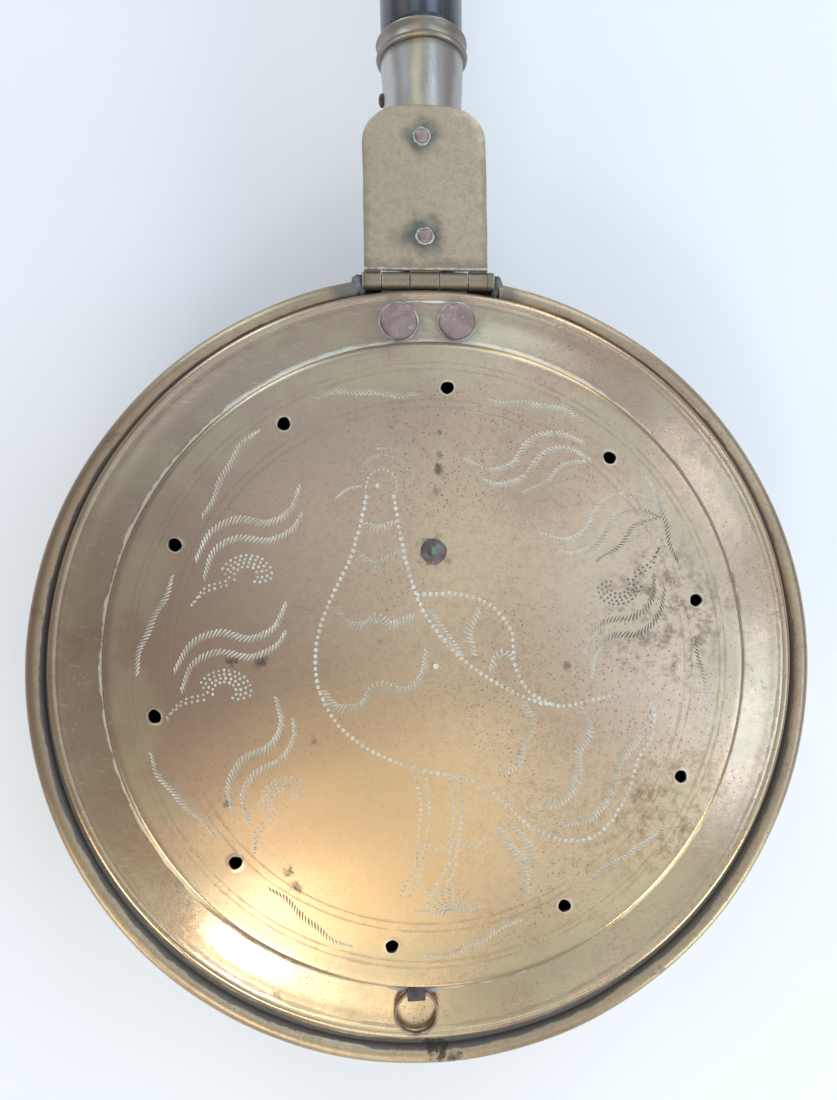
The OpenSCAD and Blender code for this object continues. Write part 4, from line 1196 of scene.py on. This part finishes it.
def lid_surface():
    s = old_brass("lid_brass", GOLD, BROWN, 0.37)
    m = s.m
    centre = m.away(LID_X, LID_Y)
    edge_noise = m.noise(120, 5, 0.65)
    # Painted shade: the upper left and the left of the lid made darker brown, where it faces the dim side of the room.
    s.coat(m.span(m.away(-105, 95), 175, 40, 0, 0.72), (0.345, 0.26, 0.215), 0.03)
    s.coat(m.span(m.away(-122, -5), 80, 15, 0, 0.65), (0.36, 0.24, 0.165), 0.03)
    # Painted light: a paler khaki on the right, a painted reflection of the bright sky, and a warm golden painted glow
    # of the window low on the left.
    s.coat(m.span(m.away(85, 15), 62, 15, 0, 0.4), (0.66, 0.55, 0.39))
    s.coat(m.span(m.away(-28, -62), 78, 12, 0, 0.75), (0.68, 0.455, 0.225))
    rust = m.span(m.noise(150, 5, 0.75), 0.44, 0.66)
    s.coat(m.math("MULTIPLY", m.span(m.away(90, 20), 40, 6, 0, 0.7), rust), (0.12, 0.085, 0.055), 0.15, 0.3)
    s.coat(m.math("MULTIPLY", m.span(m.away(84, -56), 38, 6, 0, 0.75), rust), (0.20, 0.115, 0.06), 0.15, 0.3)
    fleck = m.span(m.cells(520), 0.24, 0.06)
    s.coat(m.math("MULTIPLY", m.span(m.away(88, -6), 62, 20, 0, 0.85), fleck), DARK, 0.2, 0.4)
    s.coat(m.math("MULTIPLY", m.span(m.away(4, 88), 48, 10, 0, 0.8), fleck), DARK, 0.2, 0.4)
    s.coat(m.math("MULTIPLY", m.span(centre, 96, 108, 0, 0.5), m.span(m.noise(40, 4, 0.6), 0.40, 0.60)), (0.46, 0.40, 0.25), 0.05)
    # A pale band at the foot of the riser: real polish residue in the corner, widened into a painted highlight along
    # the shoulder.
    s.coat(m.ring(centre, RISER_R + 0.8, 0.4, 0.7, edge_noise, 0.8), (0.64, 0.62, 0.54), 0.2, 0.6)
    s.coat(m.ring(centre, LID_R - 5.3, 0.3, 0.5, edge_noise, 0.5), (0.20, 0.165, 0.11), 0.2, 0.5)
    for r in GROOVES:
        s.coat(m.ring(centre, r, 0.1, 0.5, edge_noise, 0.3), (0.24, 0.19, 0.12), 0.1, 0.2)
    flange = m.span(centre, RISER_R, RISER_R + 2)
    streak = m.noise(1, 5, 0.7, vector=m.stretched((120, 900, 100), (0, 0, 63)))
    s.coat(m.math("MULTIPLY", flange, m.span(streak, 0.56, 0.70, 0, 0.45)), (0.62, 0.56, 0.42), 0.05)
    s.coat(m.math("MULTIPLY", flange, m.span(m.noise(120, 5, 0.7), 0.52, 0.70, 0, 0.4)), (0.33, 0.27, 0.18), 0.1, 0.2)
    spots(s, [(0, 44, 5.6, 0.7), (2.6, 80.4, 1.9, 0.75), (2.4, 74.4, 2.0, 0.75), (3.2, 88, 1.2, 0.6), (1.5, 66, 1.4, 0.4),
              (-74, 5.4, 2.6, 0.85), (-63, 4.4, 3.2, 0.85), (-76, -45.6, 2.4, 0.7), (49, 1.4, 2.2, 0.6), (-55, -71.6, 3.0, 0.7),
              (-51, -77, 2.4, 0.6), (-44, -23.6, 2.2, 0.5), (-8, -136, 4.5, 0.35), (-60, -120, 2.4, 0.6), (95, -62, 5, 0.4),
              (58, -94, 2.2, 0.5), (30, -30, 1.4, 0.5), (-20, 12, 1.2, 0.45), (62, 40, 1.3, 0.5), (-96, -78, 3, 0.5)])
    for x in (-10.7, 11.7):
        haze(s, x, 132.2, 13, (0.15, 0.14, 0.10), 0.75)
    crease = m.math("MULTIPLY", m.ring(centre, LID_R - 5.0, 0.12, 0.3, edge_noise), m.span(m.away(0.5, 137), 10, 7))
    s.coat(crease, CHALK, 0.3, 0.8)
    lines = m.noise(1.7, 4, 0.7, vector=m.only(centre))
    s.relief(lines, 0.12, 0.10)
    fine = m.noise(9, 3, 0.7, vector=m.only(centre))
    s.coat(m.math("MULTIPLY", m.span(centre, 88, 96), m.span(fine, 0.60, 0.70, 0, 0.25)), (0.28, 0.22, 0.14))
    s.relief(m.span(centre, RISER_R + 2, LID_R - 4, 1, 0), 1.0, 1.3)
    s.rough = m.math("SUBTRACT", s.rough, m.span(centre, DOME_EDGE - 2, DOME_EDGE + 1, 0, 0.11))
    s.rough = m.math("SUBTRACT", s.rough, m.span(m.away(-84, -100), 62, 25, 0, 0.07))
    vents = None
    for angle, radius in VENTS:
        x, y = polar(angle, radius)
        near = m.away(x + LID_X, y + LID_Y)
        vents = near if vents is None else m.math("MINIMUM", vents, near)
    s.coat(m.ring(vents, VENT_R + 0.25, 0.15, 0.3, m.noise(330, 3, 0.6), 0.5), (0.66, 0.60, 0.48), 0.05, 0.2)
    return s.done()


def pan_surface():
    s = old_brass("pan_brass", (0.50, 0.39, 0.245), (0.37, 0.275, 0.19), 0.38, 0.7)
    m = s.m
    # Painted shade: the left side of the pan made darker brown.
    s.coat(m.span(m.away(-140, 30), 150, 50, 0, 0.65), (0.27, 0.19, 0.13), 0.03)
    z = m.axis(2)
    # The wall darker towards the bottom, and darkest at the base.
    ragged_height = m.math("ADD", z, m.span(m.noise(11, 6, 0.7), 0.25, 0.75, -18, 18))
    s.coat(m.span(ragged_height, 78, 2, 0, 0.75), (0.20, 0.14, 0.09), 0.10, 0.25)
    s.coat(m.span(m.math("ADD", z, m.span(m.noise(34, 5, 0.7), 0.3, 0.7, -9, 9)), 16, -4, 0, 0.75), (0.06, 0.048, 0.038), 0.2, 0.5)
    # Painted shade: the inside of the pan, under the lid, made nearly black.
    inside = m.math("MULTIPLY", m.span(m.away(0, 0), 136.8, 136.0), m.span(m.axis(2), 0.7, 1.0))
    s.coat(m.math("MULTIPLY", inside, 0.85), (0.075, 0.058, 0.043), 0.35, 0.8)
    # Painted shade: a dark band in the crevice between the lid's edge and the bead.
    s.coat(m.ring(m.away(0, 0), BEAD_X - BEAD_R, 1.2, 0.5, m.noise(60, 4, 0.6), 0.75), (0.085, 0.092, 0.10), 0.25, 0.6)
    spots(s, [(1, -147, 4.4, 0.95), (5.5, -148.5, 3.6, 0.9), (-3, -146, 3.4, 0.85),
              (-120, 88, 4, 0.4), (-146, 24, 3, 0.4), (88, -121, 3, 0.5)])
    shadowed = m.math("MULTIPLY", m.span(m.axis(1), 139, 141), m.span(m.math("ABSOLUTE", m.math("SUBTRACT", m.axis(0), HINGE_MID)), 33, 29))
    s.coat(m.math("MULTIPLY", shadowed, m.span(m.axis(2), 84.4, 83.4)), (0.07, 0.06, 0.05), 0.2, 0.5)
    haze(s, HINGE_MID - 31, 144, 9, (0.13, 0.13, 0.12), 0.8)
    haze(s, HINGE_MID + 31, 143, 7, (0.13, 0.13, 0.12), 0.7)
    return s.done()


def plate_surface():
    s = old_brass("plate_brass", (0.53, 0.43, 0.285), (0.44, 0.34, 0.235), 0.40, 0.45, (420, 46, 420))
    m = s.m
    edge_noise = m.noise(190, 5, 0.65)
    off = m.math("ABSOLUTE", m.math("SUBTRACT", m.axis(0), PLATE_MID))
    s.coat(m.span(m.math("ADD", off, m.span(edge_noise, 0.3, 0.7, -1.6, 1.6)), 20.5, 24.0, 0, 0.45), (0.22, 0.165, 0.10), 0.1, 0.2)
    y = m.axis(1)
    seam = m.math("ABSOLUTE", m.math("SUBTRACT", y, 153.05))
    seam = m.math("ADD", seam, m.span(edge_noise, 0.35, 0.65, -0.3, 0.3))
    s.coat(m.span(m.math("ADD", y, m.span(edge_noise, 0.3, 0.7, -1.8, 1.8)), 158.0, 153.5, 0, 0.55), (0.15, 0.13, 0.10), 0.12, 0.3)
    s.coat(m.span(seam, 0.42, 0.1, 0, 0.75), (0.50, 0.51, 0.45), 0.3, 0.85)
    barrel = m.span(y, 152.9, 152.4)
    # Painted shade: the lower side of the hinge barrel made darker.
    s.coat(m.math("MULTIPLY", barrel, m.span(m.axis(2), 89.0, 86.5, 0, 0.6)), (0.16, 0.155, 0.15), 0.05, 0.2)
    for x, amount in ((CUTS[1], 0.85), (CUTS[2], 0.4), (CUTS[3], 0.6), (CUTS[4], 0.7), (CUTS[0], 0.6), (CUTS[5], 0.7)):
        gap = m.math("ADD", m.math("ABSOLUTE", m.math("SUBTRACT", m.axis(0), x)), m.span(edge_noise, 0.35, 0.65, -0.25, 0.25))
        s.coat(m.math("MULTIPLY", barrel, m.span(gap, 0.55, 0.25, 0, amount)), (0.42, 0.42, 0.37), 0.3, 0.7)
    haze(s, 0, RIVETS_Y[0], 11, (0.085, 0.095, 0.085), 0.9)
    haze(s, -0.6, RIVETS_Y[1], 9, (0.085, 0.095, 0.085), 0.85)
    haze(s, -9, RIVETS_Y[0] - 1, 7, (0.14, 0.13, 0.10), 0.4)
    s.coat(m.math("MULTIPLY", m.span(m.cells(620), 0.17, 0.08), m.span(m.noise(45, 3, 0.6), 0.50, 0.62, 0, 0.6)), DARK, 0.2, 0.4)
    return s.done()


def socket_surface():
    # The grey tint of this brass is partly its own and partly a painted reflection of the pale sky.
    s = old_brass("socket_brass", (0.47, 0.43, 0.38), (0.40, 0.355, 0.31), 0.31, 0.6, (500, 40, 500))
    m = s.m
    spots(s, [(-14, 228, 4, 0.6)])
    y, side = m.axis(1), m.math("SUBTRACT", m.axis(0), AXIS_X)
    # Painted reflection: a golden stripe just left of the axis and a paler left side; painted shade: a darker right
    # side.
    off = m.math("ABSOLUTE", m.math("ADD", side, 3.5))
    s.coat(m.span(m.math("ADD", off, m.span(m.noise(90, 4, 0.6), 0.3, 0.7, -1.2, 1.2)), 5.0, 0.5, 0, 0.6), (0.60, 0.48, 0.29))
    s.coat(m.span(side, -4.0, -9.0, 0, 0.85), (0.56, 0.545, 0.52))
    s.coat(m.span(side, 2.0, 8.0, 0, 0.7), (0.42, 0.405, 0.38))
    s.coat(m.span(y, 240.0, 243.0, 0, 0.6), (0.16, 0.12, 0.08), 0.1, 0.2)
    return s.done()


def cut_surface():
    s = Layers("punched_mark", (0.76, 0.745, 0.67), 0.55, 0.05)
    m = s.m
    s.coat(m.span(m.noise(60, 4, 0.6), 0.40, 0.66, 0, 0.8), (0.62, 0.58, 0.46), 0.0)
    # Painted shade: the cuts on the right made dark, where their walls fall in shade.
    s.coat(m.span(m.away(92, 26), 44, 22, 0, 0.75), (0.17, 0.155, 0.135), 0.0)
    s.coat(m.span(m.away(-50, -84), 22, 8, 0, 0.75), (0.17, 0.155, 0.135), 0.0)
    s.coat(m.span(m.noise(420, 4, 0.6), 0.52, 0.72, 0, 0.6), (0.42, 0.46, 0.36), 0.1)
    s.relief(m.noise(1500, 3, 0.6), 0.3, 0.05)
    return s.done()


def plug_surface():
    s = worn_metal("plug_metal", (0.10, 0.075, 0.082), (0.22, 0.16, 0.15), 0.55, 0.42, 260)
    spots(s, [(0, 44, 1.9, 0.95), (1.8, 45.6, 1.0, 0.7), (-2.2, 42.2, 0.9, 0.6)], (0.13, 0.30, 0.20), 0.3, 0.5)
    return s.done()


def wood_surface():
    # Ebonised wood; its blue tint is partly a painted reflection of the sky.
    s = Layers("ebonised", (0.024, 0.029, 0.040), 0.26, 0.0)
    m = s.m
    grain = m.noise(1, 6, 0.65, 0.3, vector=m.stretched((700, 14, 700)))
    s.coat(m.span(grain, 0.52, 0.70, 0, 0.8), (0.046, 0.052, 0.064), 0.08)
    s.coat(m.span(m.noise(30, 5, 0.65), 0.60, 0.76, 0, 0.75), (0.085, 0.055, 0.036), 0.16)
    s.coat(m.span(m.noise(1, 4, 0.6, vector=m.stretched((60, 900, 60))), 0.66, 0.72, 0, 0.5), (0.16, 0.17, 0.19), 0.2)
    s.relief(grain, 0.35, 0.12)
    s.relief(m.noise(900, 2, 0.5), 0.12, 0.04)
    return s.done(Coat_Weight=0.45, Coat_Roughness=0.18)


engrave()
lid_brass = lid_surface()
pan_brass = pan_surface()
plate_brass = plate_surface()
socket_brass = socket_surface()
cut_mark = cut_surface()
rivet_copper = worn_metal("rivet_copper", (0.27, 0.18, 0.15), (0.36, 0.275, 0.245), 0.72, 0.42, 150, (0.46, 0.46, 0.43), 0.60).done()
small_copper = worn_metal("small_rivet_copper", (0.29, 0.175, 0.145), (0.40, 0.28, 0.24), 0.75, 0.38, 300, (0.45, 0.45, 0.40), 0.62).done()
ring_copper = worn_metal("ring_copper", (0.25, 0.165, 0.14), (0.43, 0.32, 0.275), 0.88, 0.32, 180).done()
strap_metal = worn_metal("staple_metal", (0.055, 0.042, 0.045), (0.105, 0.085, 0.085), 0.45, 0.52, 160).done()
dull_brass = worn_metal("bracket_brass", (0.27, 0.20, 0.12), (0.38, 0.29, 0.17), 0.9, 0.42, 60, (0.20, 0.26, 0.20), 0.64).done()
iron_metal = worn_metal("dark_iron", (0.075, 0.066, 0.060), (0.15, 0.13, 0.115), 0.75, 0.40, 90, (0.16, 0.085, 0.045), 0.66).done()
crust = deposit("verdigris_crust", (0.58, 0.60, 0.56), (0.30, 0.33, 0.29)).done()
rim_solder = deposit("rim_solder", (0.19, 0.205, 0.205), (0.085, 0.10, 0.105), 400).done()
smear = deposit("solder_smear", (0.56, 0.56, 0.52), (0.33, 0.33, 0.30), 300).done()
wood = wood_surface()

build_lid([lid_brass, cut_mark])
build_pan([pan_brass])
build_rim_ends([rim_solder])
build_plate([plate_brass])
build_leaf([plate_brass])
build_pin([iron_metal])
build_rivets([rivet_copper], crust)
build_plug([plug_surface()])
build_lift([ring_copper], [strap_metal], [smear])
build_socket([socket_brass], [iron_metal])
build_handle([wood], [iron_metal])
for node_name, mat in (("wall_bracket", dull_brass), ("bracket_rivets", small_copper)):
    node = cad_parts[node_name]
    node.data.materials.clear()
    node.data.materials.append(mat)
    bevel = node.modifiers.new("worn_edges", "BEVEL")
    bevel.width = 0.35 * MM
    bevel.segments = 2
    bevel.limit_method = "ANGLE"
    bevel.angle_limit = math.radians(40)


def make_floor():
    mesh = bpy.data.meshes.new("floor")
    s, z = 3.0, -0.0002
    mesh.from_pydata([(-s, -s, z), (s, -s, z), (s, s, z), (-s, s, z)], [], [(0, 1, 2, 3)])
    floor = bpy.data.objects.new("floor", mesh)
    bpy.context.scene.collection.objects.link(floor)
    m = Mat("floor_pale")
    m.finish(m.mix(m.span(m.noise(2.5, 3), 0.3, 0.7), (0.88, 0.87, 0.88), (0.91, 0.90, 0.90)), 0.8)
    mesh.materials.append(m.mat)


make_floor()
bpy.context.scene.view_settings.view_transform = "Standard"
